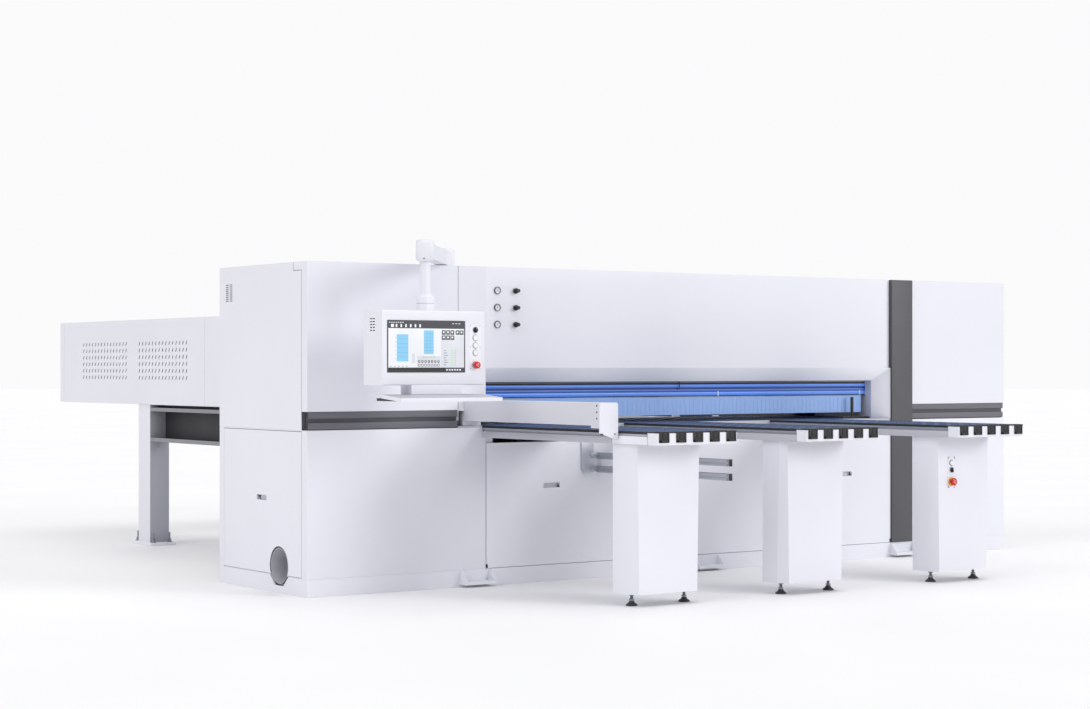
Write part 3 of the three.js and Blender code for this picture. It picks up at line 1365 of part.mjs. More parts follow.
function buildPusher() {
  const pusher = new THREE.Group();
  pusher.position.y = pusherPlace;
  machine.add(pusher);
  const x0 = leftCabinetLength + seam;
  const x1 = jambRight - seam;
  const inner0 = x0 + pusherRailWidth + pusherRunning;
  const inner1 = x1 - pusherRailWidth - pusherRunning;
  const z1 = pusherBottom + pusherHeight;
  const w = pusherWall;
  const beam = cutFrom(block(inner0, inner1, 0, pusherDepth, pusherBottom, z1), [
    block(inner0 - overrun, inner1 + overrun, w, pusherDepth - w, pusherBottom + w, z1 - w)]);
  const shoes = [[x0, inner0 + pusherShoe], [inner1 - pusherShoe, x1]].map(([a, b]) => joined([
    block(a, b, 0, pusherDepth, pusherRailTop + fit, pusherRailTop + fit + pusherShoe),
    block(Math.max(a, inner0), Math.min(b, inner1), 0, pusherDepth, z1 - w, pusherRailTop + pusherShoe)]));
  const bodies = gripperPlaces.map(gripperBody);
  const solid = joined([beam, ...shoes, ...bodies]);
  addPiece('pusher_beam', cutFrom(solid, gripperPlaces.map(jawClearance)), darkPaint, pusher);
  gripperPlaces.forEach((x, i) => {
    addPiece(`gripper_jaw_${i + 1}`, jawSolid(), machinedSteel, pusher).position.x = x;
  });
}

// Room between the ears for the moving jaw, round its pin
function jawClearance(x) {
  const w = gripperWidth / 2 - gripperEar;
  const reach = gripperPinPlace * 2 + overrun;
  const room = block(x - w, x + w, -reach, -fit, gripperPinHeight - gripperPinRadius * 3, gripperPinHeight
    + gripperPinRadius * 3);
  return room.subtract(roundX(gripperPinRadius, x - w - overrun, x + w + overrun, -gripperPinPlace,
    gripperPinHeight, 12));
}

// Console arm: a column on the cabinet roof, a swivelling arm and the console's post
function armHead(x, bottom, top) {
  const w = headWidth / 2;
  const across = prismY(roundedOutline(x - w, x + w, bottom, top, headCorner, 2), -w, w);
  const along = prismX(roundedOutline(-w, w, bottom, top, headCorner, 2), x - w, x + w);
  const plan = prismZ(roundedOutline(x - w, x + w, -w, w, headCorner, 2), bottom - overrun, top + overrun);
  return across.intersect(along).intersect(plan);
}

function buildArm() {
  const spigotTop = armBottom + spigotReach;
  const base = joined([
    roundZ(armBaseRadius, bodyHeight + fit, armBottom - fit, armPivotX, armPivotY, 24),
    roundZ(spigotRadius, armBottom - 2 * fit, spigotTop, armPivotX, armPivotY, 16)]);
  addPiece('console_arm_base', base, greyPaint);

  const reach = Math.hypot(consoleX - armPivotX, consoleY - armPivotY);
  const w = armWidth / 2;
  const bar = block(0, reach, -w, w, armBottom, armUpper);
  const elbow = armHead(0, armBottom - headCorner, elbowTop).subtract(
    block(-headWidth, headWidth, -headWidth, headWidth, armBottom - headCorner - overrun, armBottom));
  const head = armHead(reach, headBottom, headTop);
  const bores = [[0, armBottom - overrun, spigotTop + fit],
    [reach, headBottom - overrun, postTop + spigotRadius + fit]].map(([x, z0, z1]) => roundZ(
    boreRadiusOfArm, z0, z1, x, 0, 16));
  const swing = new THREE.Group();
  swing.position.set(armPivotX, armPivotY, 0);
  swing.rotation.z = Math.atan2(consoleY - armPivotY, consoleX - armPivotX);
  machine.add(swing);
  addPiece('console_arm', cutFrom(joined([bar, elbow, head]), bores), whitePaint, swing);
}

const consoleGroup = new THREE.Group();
consoleGroup.position.set(consoleX, consoleY, 0);
machine.add(consoleGroup);
const panelY = consoleBack - consoleDepth;

function consoleVents() {
  return consoleVentPlaces.flatMap((place) => Array.from({ length: consoleVentRows }, (_, i) => {
    const z = consoleBottom + consoleVentTop - i * consoleVentPitch;
    const y = panelY + place;
    return block(-consoleWidth, consoleWidth, y, y + consoleVentLength, z - consoleVentHeight / 2,
      z + consoleVentHeight / 2);
  }));
}

function buildConsole() {
  const half = consoleWidth / 2;
  const w = consoleWall;
  const side = roundedOutline(panelY, consoleBack, consoleBottom, consoleTop, consoleCorner, 3);
  const outer = prismX(side, -half, half);
  const hollow = block(-half + w, half - w, panelY + w * 2, consoleBack - w, consoleBottom + w,
    consoleTop - w);
  const screenX = -half + screenLeft;
  const screenZ = consoleBottom + screenBottom;
  const screenWell = block(screenX - fit, screenX + screenWidth + fit, panelY - overrun,
    panelY + screenDepth, screenZ - fit, screenZ + screenHeight + fit);
  const screenShelf = block(screenX - w, screenX + screenWidth + w, panelY + w, panelY + screenDepth + w,
    screenZ - w, screenZ + screenHeight + w);
  const buttonX = -half + buttonColumn;
  const bores = [selectorHeight, ...buttonHeights, stopHeight].map((z) => roundY(buttonRadius, panelY - overrun,
    panelY + w * 3, buttonX, consoleBottom + z, 16));
  const post = turned([[0, consoleTop - w], [collarRadius, consoleTop - w],
    [collarRadius, consoleTop + collarHeight - collarBevel], [postRadius, consoleTop + collarHeight],
    [postRadius, postTop], [spigotRadius, postTop], [spigotRadius, postTop + spigotRadius],
    [0, postTop + spigotRadius]], 0, 0, 8);
  const neck = block(neckShift - neckWidth / 2, neckShift + neckWidth / 2, panelY + w, panelY + neckDepth,
    consoleBottom - neckHeight + fit,
    consoleBottom + w / 2);
  const shell = cutFrom(outer, [hollow, ...consoleVents()]).add(screenShelf);
  const housing = cutFrom(joined([shell, post.rotate([0, 0, postTurn]), neck]), [screenWell, ...bores]);
  addPiece('console_housing', housing, whitePaint, consoleGroup);

  const screen = block(screenX, screenX + screenWidth, panelY - screenProud, panelY + screenDepth - fit,
    screenZ, screenZ + screenHeight);
  addPiece('console_screen', screen, screenGlass, consoleGroup);
}

// Keyboard tray: a folded sheet under the console, with a front lip and raised side cheeks
function buildTray() {
  const half = trayWidth / 2;
  const front = -trayFront;
  const t = traySheet;
  const z1 = trayTop;
  const z0 = trayTop - trayDrop;
  const fold = -trayFold;
  const section = [[trayBack, z1], [trayBack, z1 - t], [fold, z1 - t], [front + t, z0 - t],
    [front + t, z0 - trayLip], [front, z0 - trayLip], [front, z0], [fold, z1]];
  const deck = prismX(section, -half, half);
  const cheek = [[fold, z1 - t / 2], [front, z0 - t / 2], [front, z0 - trayLip], [fold, z1 - trayLip]];
  const cheeks = [prismX(cheek, -half, -half + t), prismX(cheek, half - t, half)];
  addPiece('console_tray', joined([deck, ...cheeks]), whitePaint, consoleGroup);
}

function buildConsoleControls() {
  const controls = new THREE.Group();
  controls.position.set(-consoleWidth / 2 + buttonColumn, panelY, consoleBottom);
  consoleGroup.add(controls);
  buttonHeights.forEach((z, i) => {
    const button = pushButton(buttonRim, buttonProud);
    addPiece(`console_button_${i + 1}`, button, whitePlastic, controls).position.z = z;
  });
  const selector = selectorSwitch(buttonRim, selectorProud);
  addPiece('console_selector', selector, blackPlastic, controls).position.z = selectorHeight;
  const stop = stopButton(stopRadius, stopProud);
  addPiece('console_stop_button', stop, redPlastic, controls).position.z = stopHeight;
}

buildBaseFrame();
buildFrontPanels();
buildLeftLowerCabinet();
buildDustDuct();
buildLeftUpperCabinet();
buildGuideStrips();
buildHood();
buildEndColumn();
buildRightCabinet();
buildSawTable();
buildCarriage();
buildSawUnit();
buildPressureBeam();
buildCurtain();
buildAligner();
buildKnobs();
buildAirTables();
buildPedestals();
buildPedestalSwitches();
buildFence();
buildAccessoryRails();
buildRearFrame();
buildRearCover();
buildRollerTable();
buildPusher();
buildArm();
buildConsole();
buildTray();
buildConsoleControls();

export default beamSaw;
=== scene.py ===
import json
import math
import bmesh
import bpy
from mathutils import Matrix, Vector
from mathutils.bvhtree import BVHTree
from mathutils.geometry import delaunay_2d_cdt


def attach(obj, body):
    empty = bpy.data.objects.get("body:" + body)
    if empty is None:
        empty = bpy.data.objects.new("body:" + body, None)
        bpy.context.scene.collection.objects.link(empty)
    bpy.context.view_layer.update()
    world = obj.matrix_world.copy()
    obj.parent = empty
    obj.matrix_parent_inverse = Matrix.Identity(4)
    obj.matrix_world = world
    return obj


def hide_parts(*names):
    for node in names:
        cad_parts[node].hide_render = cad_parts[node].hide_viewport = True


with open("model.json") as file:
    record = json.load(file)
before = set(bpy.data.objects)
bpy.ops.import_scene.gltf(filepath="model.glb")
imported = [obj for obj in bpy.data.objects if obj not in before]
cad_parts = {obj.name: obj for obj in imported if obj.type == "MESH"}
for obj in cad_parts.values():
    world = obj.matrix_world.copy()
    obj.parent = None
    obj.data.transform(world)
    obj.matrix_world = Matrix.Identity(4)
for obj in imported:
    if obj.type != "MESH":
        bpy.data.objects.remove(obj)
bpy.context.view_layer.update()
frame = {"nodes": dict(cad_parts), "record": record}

# The drawing's millimetres count from the body's left end and front face; the frame's origin is
# in the middle of the body.
SHIFT_X, SHIFT_Y = 2825.0, 547.5
TABLE_TOP = 953


def at(x, y, z):
    return Vector(((x - SHIFT_X) / 1000, (y - SHIFT_Y) / 1000, z / 1000))


BODY_OF = {node: body for body, nodes in frame["record"]["behaviour"]["bodies"].items() for node in nodes}


# Materials

def srgb(text):
    values = [int(text[i:i + 2], 16) / 255 for i in (0, 2, 4)]
    return [v / 12.92 if v <= 0.04045 else ((v + 0.055) / 1.055) ** 2.4 for v in values] + [1.0]


def shade(color, factor):
    return [min(1.0, c * factor) for c in color[:3]] + [1.0]


class Nodes:
    """A short way to write a node tree."""

    def __init__(self, name):
        self.material = bpy.data.materials.new(name)
        self.material.use_nodes = True
        self.tree = self.material.node_tree
        self.shader = self.tree.nodes["Principled BSDF"]
        self.coord = self.tree.nodes.new("ShaderNodeTexCoord").outputs["Object"]

    def new(self, kind, **values):
        node = self.tree.nodes.new(kind)
        for key, value in values.items():
            setattr(node, key, value)
        return node

    def link(self, a, b):
        self.tree.links.new(a, b)

    def noise(self, scale, detail=3.0, stretch=None, rough=0.5):
        node = self.new("ShaderNodeTexNoise")
        node.inputs["Scale"].default_value = scale
        node.inputs["Detail"].default_value = detail
        node.inputs["Roughness"].default_value = rough
        vector = self.coord
        if stretch:
            mapping = self.new("ShaderNodeMapping")
            mapping.inputs["Scale"].default_value = stretch
            self.link(vector, mapping.inputs["Vector"])
            vector = mapping.outputs["Vector"]
        self.link(vector, node.inputs["Vector"])
        return node.outputs["Fac"]

    def ramp(self, fac, stops):
        node = self.new("ShaderNodeValToRGB")
        ramp = node.color_ramp
        while len(ramp.elements) < len(stops):
            ramp.elements.new(0.5)
        for element, (place, color) in zip(ramp.elements, stops):
            element.position = place
            element.color = color
        self.link(fac, node.inputs["Fac"])
        return node.outputs["Color"]

    def tone(self, fac, hexa, low, high, start=0.3):
        """A colour that drifts between two shares of itself."""
        base = srgb(hexa)
        return self.ramp(fac, [(start, shade(base, low)), (1 - start, shade(base, high))])

    def scale(self, fac, low, high):
        node = self.new("ShaderNodeMapRange")
        node.inputs["To Min"].default_value = low
        node.inputs["To Max"].default_value = high
        self.link(fac, node.inputs["Value"])
        return node.outputs["Result"]

    def math(self, operation, a, b=None):
        node = self.new("ShaderNodeMath", operation=operation)
        for socket, value in zip(node.inputs, (a, b)):
            if value is None:
                continue
            if isinstance(value, (int, float)):
                socket.default_value = value
            else:
                self.link(value, socket)
        return node.outputs["Value"]

    def mix(self, fac, a, b):
        node = self.new("ShaderNodeMix", data_type="RGBA")
        # A Mix node's colour sockets share their names with other kinds, so they are taken by number
        for socket, value in ((node.inputs["Factor"], fac), (node.inputs[6], a), (node.inputs[7], b)):
            if isinstance(value, (int, float, list, tuple)):
                socket.default_value = value
            else:
                self.link(value, socket)
        return node.outputs[2]

    def xyz(self):
        node = self.new("ShaderNodeSeparateXYZ")
        self.link(self.coord, node.inputs["Vector"])
        return node.outputs

    def feed(self, name, value):
        self.link(value, self.shader.inputs[name])

    def bump(self, height, strength, distance):
        node = self.new("ShaderNodeBump")
        node.inputs["Strength"].default_value = strength
        node.inputs["Distance"].default_value = distance
        self.link(height, node.inputs["Height"])
        self.feed("Normal", node.outputs["Normal"])

    def set(self, **values):
        for key, value in values.items():
            self.shader.inputs[key.replace("_", " ")].default_value = value


def painted(name, hexa, rough=0.5, spread=0.03, peel=0.00004):
    """Powder coat: a slight drift of tone, cloudy gloss and a fine orange peel."""
    n = Nodes(name)
    n.feed("Base Color", n.tone(n.noise(0.9, 2.0), hexa, 1 - spread, 1 + spread / 2))
    n.feed("Roughness", n.scale(n.noise(7.0, 4.0), rough - 0.05, rough + 0.07))
    n.bump(n.noise(420.0, 2.0), 0.25, peel)
    n.set(Specular_IOR_Level=0.45)
    return n


def metal(name, hexa, rough=0.3, stretch=(1, 1, 60), grain=0.08):
    """Bare metal with a drawn or machined grain."""
    n = Nodes(name)
    lines = n.noise(14.0, 6.0, stretch, 0.7)
    n.feed("Base Color", n.tone(lines, hexa, 1 - grain, 1 + grain / 2, 0.2))
    n.feed("Roughness", n.scale(lines, rough - 0.08, rough + 0.12))
    n.bump(lines, 0.2, 0.00005)
    n.set(Metallic=1.0)
    return n


def plastic(name, hexa, rough=0.3, grain=260.0, depth=0.00008):
    """Moulded plastic or rubber with a fine grain."""
    n = Nodes(name)
    n.feed("Base Color", n.tone(n.noise(3.0), hexa, 0.93, 1.05))
    n.feed("Roughness", n.scale(n.noise(40.0, 4.0), rough - 0.06, rough + 0.08))
    n.bump(n.noise(grain, 2.0), 0.3, depth)
    return n


white = painted("white_paint", "ECECF4")
white.set(Specular_IOR_Level=0.3)
# Painted light: the hood's chamfer faces glow faintly, to brighten them where they face down into the dark
# throat
hood_chamfer_glow = painted("hood_chamfer_glow", "ECECF2", 0.42)
hood_chamfer_glow.set(Emission_Color=(0.9, 0.9, 0.92, 1.0), Emission_Strength=0.14)
grey = painted("grey_paint", "A9AAB4", 0.48)
# Painted shade: faces well inside a node's outer box, in recesses, pulls, vents and the insides of cabinets,
# are painted a darker grey
inside_shade_grey = painted("inside_shade_grey", "74757D", 0.6)
table_side = painted("table_side", "BEBEC6", 0.45)
# Painted shade: the fence beam is a light grey all over, for the shade on its side
fence_grey_shade = painted("fence_grey_shade", "D4D4DC", 0.45)
strip_dark = painted("strip_dark", "6A6A71", spread=0.04)
strip_floor = painted("strip_floor", "58585F", 0.55)
# Painted shadow: the tray's top is grey for the shadow that the console housing casts on it
tray_top_shade = painted("tray_top_shade", "BDBEC7", 0.42)
# The button rims are real; their grey is painted shade round the white buttons
rim_grey_shade = painted("rim_grey_shade", "B4B5BE", 0.35)
# Painted shade: the pressure beam is dark so that the gaps between the curtain strips show shade behind them
beam_dark_shade = painted("beam_dark_shade", "4A4F5C")
post_shade = painted("post_shade", "B4B4BE")
# Grey: the rail's top band in its own colour, and also painted shade on the accessory rails' front ends and
# painted light on the rear channel's lips
grey_band_and_painted_light = painted("grey_band_and_painted_light", "8A8A90")
band_black = painted("band_black", "1A1B20")
# Painted light: the rail's blue bars glow faintly, to look lit
bar_blue_glow = painted("bar_blue_glow", "5E93F4", 0.3, 0.05)
bar_blue_glow.set(Emission_Color=(0.1, 0.28, 0.9, 1.0), Emission_Strength=0.12)
bar_mid = painted("bar_mid", "4B76CC", 0.34, 0.05)
bar_navy = painted("bar_navy", "1B3680", 0.4, 0.05)
plate_white = painted("plate_white", "F2F2F7", 0.36)
dial_white = painted("dial_white", "E6E7EC", spread=0.02)
carriage_paint = painted("carriage_paint", "4E5159")
# Near black paint; on the rear channel it is also painted shade for the shade in the channel's web
dark_and_shade = painted("dark_and_shade", "2D2C31", 0.55)
# Painted light: the duct's inner faces are a pale non-metal grey, lighter than they would show as bare steel
duct_inside_lightened = painted("duct_inside_lightened", "BEBFC6")
foot_dark = painted("foot_dark", "3A3A3F")
dark = painted("dark_paint", "4F4F54", 0.46, 0.04)
seam_dark = painted("seam_dark", "2A2A2E", 0.6)
black = plastic("black_rubber", "1C1C1F", 0.62)
black_gloss = plastic("black_plastic", "141416", 0.32)
white_plastic = plastic("white_plastic", "F1F1F4")
red_plastic = plastic("red_plastic", "D0141E")
yellow_plastic = plastic("yellow_plastic", "F2C21A", 0.4)
alu = metal("aluminium", "BFC2C9", 0.34, (60, 1, 60))
steel = metal("machined_steel", "8C8F96", 0.38, (20, 20, 20))
blade_steel = metal("blade_steel", "C9CCD1", 0.22, (4, 1, 4))
carbide = metal("carbide", "6E7076")
duct_steel = metal("duct_steel", "B3B5BC", 0.42, (80, 1, 1))
guide_steel = metal("guide_steel", "A6A8AF", 0.3, (60, 1, 1))
machined = metal("machined_alloy", "B4B7BE", 0.34, (30, 30, 1))
ui_frame, ui_bar, ui_black, ui_light, ui_panel, ui_blue, ui_line, ui_green, ui_pale, ui_grey = [
    plastic("screen_" + name, tone, 0.3, 60.0, 0.00001) for name, tone in (
        ("frame", "3C3D45"), ("bar", "3A3C44"), ("black", "141518"), ("light", "F1F3F6"), ("panel", "DFE1E7"),
        ("blue", "8CCFF3"), ("line", "5E9FC8"), ("green", "C2E4C4"), ("pale", "F4F6F8"), ("grey", "98A0AA"))]


AIR_HOLE_PITCH = 0.025


def table_material(name, hexa, dark_hexa):
    """Coated table plate: a fine grid of air holes in a dark smooth coat. The holes are dark dots, painted
    shade, and the coat's blue tint is a painted reflection of the blue curtain; the coat's own reflection is
    turned off.
    """
    n = Nodes(name)
    waves = [n.math("COSINE", n.math("MULTIPLY", axis, 2 * math.pi / AIR_HOLE_PITCH)) for axis in n.xyz()[:2]]
    dots = n.math("MULTIPLY", *[n.math("GREATER_THAN", wave, 0.80) for wave in waves])
    n.feed("Base Color", n.mix(dots, n.tone(n.noise(2.5), hexa, 0.86, 1.1), srgb(dark_hexa)))
    n.feed("Roughness", n.scale(n.noise(30.0, 4.0), 0.12, 0.2))
    n.bump(n.math("MULTIPLY", dots, -1.0), 0.3, 0.0004)
    n.set(Specular_IOR_Level=0.0)
    return n


# The throat's coat is bluer, a stronger painted reflection of the curtain above it
table_coat_reflection = table_material("table_coat_reflection", "5B6A8A", "202638")
throat_coat_reflection = table_material("throat_coat_reflection", "62759E", "232938")


def curtain_material():
    """Translucent blue strip plastic with faint streaks down each strip. It glows faintly: painted light that
    brightens the curtain.
    """
    n = Nodes("curtain_plastic")
    streak = n.noise(18.0, 3.0, (6, 6, 0.5))
    n.feed("Base Color", n.ramp(streak, [(0.25, srgb("86A8DE")), (0.75, srgb("99B8EA"))]))
    n.feed("Roughness", n.scale(n.noise(25.0, 3.0), 0.3, 0.42))
    n.bump(streak, 0.08, 0.0001)
    n.set(Emission_Color=(0.33, 0.5, 0.9, 1.0), Emission_Strength=0.12)
    return n


curtain_plastic = curtain_material()
screen_glass = plastic("screen_glass", "10151E", 0.12, 90.0, 0.00001)
screen_glass.set(Coat_Weight=0.6, Coat_Roughness=0.05)


# Mesh tools

def link(ob):
    bpy.context.scene.collection.objects.link(ob)
    return ob


def mesh_object(name, bm, material, smooth=None):
    mesh = bpy.data.meshes.new(name)
    bm.to_mesh(mesh)
    bm.free()
    ob = link(bpy.data.objects.new(name, mesh))
    mesh.materials.append(material.material)
    if smooth is not None:
        soften(mesh, smooth)
    return ob


def soften(mesh, angle):
    """Smooth shading, with the edges sharper than the angle left sharp."""
    bm = bmesh.new()
    bm.from_mesh(mesh)
    for face in bm.faces:
        face.smooth = True
    for edge in bm.edges:
        edge.smooth = len(edge.link_faces) == 2 and edge.calc_face_angle(math.pi) < math.radians(angle)
    bm.to_mesh(mesh)
    bm.free()


def bevel(bm, width, segments=2, angle=30):
    """Rounds the edges sharper than the angle."""
    edges = [e for e in bm.edges if len(e.link_faces) == 2 and e.is_convex
             and e.calc_face_angle(0) > math.radians(angle)]
    if edges and width:
        bmesh.ops.bevel(bm, geom=edges, offset=width, segments=segments, profile=0.6, affect="EDGES",
                        clamp_overlap=True)


def add_box(bm, corner, opposite):
    """A box between two opposite corners given in the drawing's millimetres."""
    a, b = at(*map(min, corner, opposite)), at(*map(max, corner, opposite))
    for v in bmesh.ops.create_cube(bm, size=1.0)["verts"]:
        v.co = Vector([a[i] if v.co[i] < 0 else b[i] for i in range(3)])


def add_bands(bm, rings):
    """Faces from each ring of vertices to the next. A ring of one vertex is a pole."""
    faces = []
    for a, b in zip(rings, rings[1:]):
        count = max(len(a), len(b))
        for i in range(count):
            j = (i + 1) % count
            if len(a) == 1:
                corners = [a[0], b[i], b[j]]
            elif len(b) == 1:
                corners = [a[i], b[0], a[j]]
            else:
                corners = [a[i], b[i], b[j], a[j]]
            faces.append(bm.faces.new(corners))
    return faces


def add_between(bm, low, high):
    """A solid between two outlines of vertices."""
    faces = [bm.faces.new(low), bm.faces.new(high[::-1])] + add_bands(bm, [low, high])
    bmesh.ops.recalc_face_normals(bm, faces=faces)


def along(axis, height, a, b):
    """The place at a height along an axis, the other two of x, y, z given in their order."""
    place = [a, b]
    place.insert(axis, height)
    return at(*place)


def add_prism(bm, points, axis, low, high):
    """A prism along an axis, its outline given in the other two of x, y, z."""
    add_between(bm, *[[bm.verts.new(along(axis, end, a, b)) for a, b in points] for end in (low, high)])


def add_lathe(bm, profile, centre, axis, sides, ring=False):
    """A turned body: [radius, height] points in millimetres about an axis through the centre. A ring's
    profile closes on itself."""
    direction, side = [Vector(Matrix.Identity(3)[i % 3]) for i in (axis, axis + 1)]
    third = direction.cross(side)
    turns = [2 * math.pi * i / sides for i in range(sides)]
    rings = []
    for radius, height in profile:
        middle = at(*centre) + direction * height / 1000
        if radius < 1e-6:
            rings.append([bm.verts.new(middle)])
        else:
            rings.append([bm.verts.new(middle + (side * math.cos(a) + third * math.sin(a)) * radius / 1000)
                          for a in turns])
    if ring:
        rings.append(rings[0])
    faces = add_bands(bm, rings)
    if not ring:
        faces += [bm.faces.new(end) for end in (rings[0], rings[-1]) if len(end) > 1]
    bmesh.ops.recalc_face_normals(bm, faces=faces)


def add_plate(bm, outline, holes, axis, low, high):
    """A plate across an axis, cut through by holes. Outline and holes are given in the other two of
    x, y, z."""
    points, edges, loop_of = [], [], []
    for loop in [outline] + holes:
        first = len(points)
        points += [Vector((a, b)) for a, b in loop]
        edges += [(first + i, first + (i + 1) % len(loop)) for i in range(len(loop))]
        loop_of.append(range(first, first + len(loop)))
    flat, _, faces, origin, *_ = delaunay_2d_cdt(points, edges, [], 1, 0.0001)

    def in_hole(face):
        sources = [set(origin[v]) for v in face]
        return any(all(source & set(loop) for source in sources) for loop in loop_of[1:])

    rings = [[bm.verts.new(along(axis, end, point.x, point.y)) for point in flat] for end in (low, high)]
    new = []
    for face in faces:
        if not in_hole(face):
            new.append(bm.faces.new([rings[0][v] for v in face]))
            new.append(bm.faces.new([rings[1][v] for v in reversed(face)]))
    place_of = {source: index for index, sources in enumerate(origin) for source in sources}
    for loop in loop_of:
        for i, source in enumerate(loop):
            a, b = place_of[source], place_of[loop[(i + 1) % len(loop)]]
            new.append(bm.faces.new([rings[0][a], rings[0][b], rings[1][b], rings[1][a]]))
    bmesh.ops.recalc_face_normals(bm, faces=new)


def round_hole(x, z, radius, sides=36):
    turns = [2 * math.pi * k / sides for k in range(sides)]
    return [(x + radius * math.cos(a), z + radius * math.sin(a)) for a in turns]


def merge(bm, part):
    """Moves a part made on its own into bm."""
    mesh = bpy.data.meshes.new("part")
    part.to_mesh(mesh)
    part.free()
    bm.from_mesh(mesh)
    bpy.data.meshes.remove(mesh)


def add_soft_box(bm, low, high, width=0.001, segments=2):
    """A box with rounded edges."""
    part = bmesh.new()
    add_box(part, low, high)
    bevel(part, width, segments)
    merge(bm, part)


def piece(name, bm, material, smooth=35, body="machine"):
    ob = mesh_object(name, bm, material, smooth)
    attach(ob, body)
    return ob


def boxes(name, places, material, width=0.0, segments=2, smooth=35, body="machine"):
    """A piece made of boxes, each given by two corners, with their edges rounded by a width in metres."""
    bm = bmesh.new()
    for low, high in places:
        add_box(bm, low, high)
    bevel(bm, width, segments)
    piece(name, bm, material, smooth, body)


def drawn(point):
    """A point of the frame in the drawing's millimetres."""
    return point.x * 1000 + SHIFT_X, point.y * 1000 + SHIFT_Y, point.z * 1000


def same_skin(plain, dressed, width):
    """Whether the dressed faces all lie on the plain shape and face the same way."""
    tree = BVHTree.FromBMesh(plain)
    for face in dressed.faces:
        if face.calc_area() < 1e-7:
            continue
        place, normal, _, distance = tree.find_nearest(face.calc_center_median())
        if distance > width * 1.2 or normal.dot(face.normal) < -0.3:
            return False
    return True


def dress(node, material, width=0.0015, angle=30, segments=2, smooth=32, drop=None):
    """The CAD solid's own shape with softened edges, standing for the node. Faces that pass the drop test
    are left to a finer piece."""
    bm = bmesh.new()
    bm.from_mesh(frame["nodes"][node].data)
    bmesh.ops.remove_doubles(bm, verts=bm.verts, dist=1e-6)
    if drop:
        gone = [f for f in bm.faces if drop(*drawn(f.calc_center_median()), f.normal)]
        bmesh.ops.delete(bm, geom=gone, context="FACES")
        bmesh.ops.holes_fill(bm, edges=[e for e in bm.edges if e.is_boundary], sides=0)
        bmesh.ops.recalc_face_normals(bm, faces=bm.faces)
    plain = bm.copy()
    bmesh.ops.dissolve_limit(bm, angle_limit=math.radians(0.6), verts=bm.verts, edges=bm.edges)
    bevel(bm, width, segments, angle)
    bmesh.ops.triangulate(bm, faces=[f for f in bm.faces if len(f.verts) > 4])
    if not same_skin(plain, bm, width):
        print("SKIN kept plain:", node)
        bm.free()
        bm = plain
    ob = mesh_object(node + "_skin", bm, material, smooth)
    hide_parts(node)
    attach(ob, BODY_OF[node])
    return ob


def repaint(node, material):
    """The CAD solid stays as it is, with a finished material."""
    ob = frame["nodes"][node]
    ob.data.materials.clear()
    ob.data.materials.append(material.material)
    return ob


# Covers and cabinets, each the CAD solid's own shape with folded edges

def shaded(ob, tests):
    """Gives the faces that pass a test another material. A test takes the face's middle, in the drawing's
    millimetres, and its normal."""
    for material, test in tests:
        ob.data.materials.append(material.material)
        index = len(ob.data.materials) - 1
        for face in ob.data.polygons:
            if test(*drawn(face.center), face.normal):
                face.material_index = index
    return ob


SPAN_OF = {}
for node, source in frame["nodes"].items():
    if source.type == "MESH":
        places = [drawn(v.co) for v in source.data.vertices]
        SPAN_OF[node] = [(min(p[i] for p in places), max(p[i] for p in places)) for i in range(3)]


WALL = 9.0  # how far inside its node's outer box a face counts as an inner one
SEAM_OPENING = 0.0028


def inner_face(node, x, y, z):
    """Whether a place is well inside the node's outer box."""
    return all(low + WALL < value < high - WALL for value, (low, high) in zip((x, y, z), SPAN_OF[node]))


# Their inner faces take the darker grey, painted shade in the recesses
for node in ("left_lower_cabinet left_side_panel left_upper_cabinet left_upper_cover right_lower_cabinet "
             "right_upper_cabinet front_panel_left front_panel_right").split():
    ob = shaded(dress(node, white, 0.0016), [
        (inside_shade_grey, lambda x, y, z, n, node=node: inner_face(node, x, y, z))])
    if node == "left_upper_cabinet":
        # The joint round the cover's folded side is opened: its upright edges and its top one
        for v in ob.data.vertices:
            x, y, z = drawn(v.co)
            if x < 30:
                if (64.9 < y < 67.5 and 1045 < z < 1852.9) or (160.9 < y < 163.5 and z > 1849):
                    v.co.y += SEAM_OPENING
                if 60 < y < 168 and 1849.5 < z < 1852.4:
                    v.co.z -= SEAM_OPENING
# The chamfer faces under the hood's front take the glowing paint, painted light
shaded(dress("beam_hood", white, 0.0016), [
    (hood_chamfer_glow, lambda x, y, z, n: n.z < -0.3 and n.y < -0.3 and z > 1150)])
# The carriage's guide in the base frame is bare steel
shaded(dress("base_frame", white, 0.0016), [(guide_steel, lambda x, y, z, n: 515 < y < 745 and z > 240)])
dress("end_column", dark, 0.002)
for node in "left_guide_strip right_guide_strip".split():
    shaded(dress(node, strip_dark, 0.0012), [(strip_floor, lambda x, y, z, n: y > 12 and n.y < -0.5),
                                             (black, lambda x, y, z, n: abs(n.x) > 0.7)])
dress("console_arm_base", grey, 0.002)
dress("console_arm", white, 0.008, 50, 4, 50)
# The housing's inner faces, seen through its vents, take the same painted shade
shaded(dress("console_housing", white, 0.002, 24), [
    (inside_shade_grey, lambda x, y, z, n: 120 < x < 774 and -620 < y < -436 and 1206 < z < 1607)])
# The tray's top faces take the grey painted shadow
shaded(dress("console_tray", white), [(tray_top_shade, lambda x, y, z, n: n.z > 0.5 and z > 1134)])
boxes("tray_stiffener", [((122, -796, 1116), (772, -560, 1131))], dark_and_shade, 0.001,
      smooth=30, body="console")
# The fence beam takes the grey painted shade.
# The beam's end with its screws is drawn in, under the end cover
for v in dress("fence_beam", fence_grey_shade, 0.002).data.vertices:
    across = drawn(v.co)[0]
    if across > 1176:
        v.co.x = at(1166 + (across - 1182) * 6 / 44, 0, 0).x
dress("fence_end_cover", white, 0.003, 24, 3)


def table_top(x, y, z, n):
    return n.z > 0.5 and z > TABLE_TOP - 1


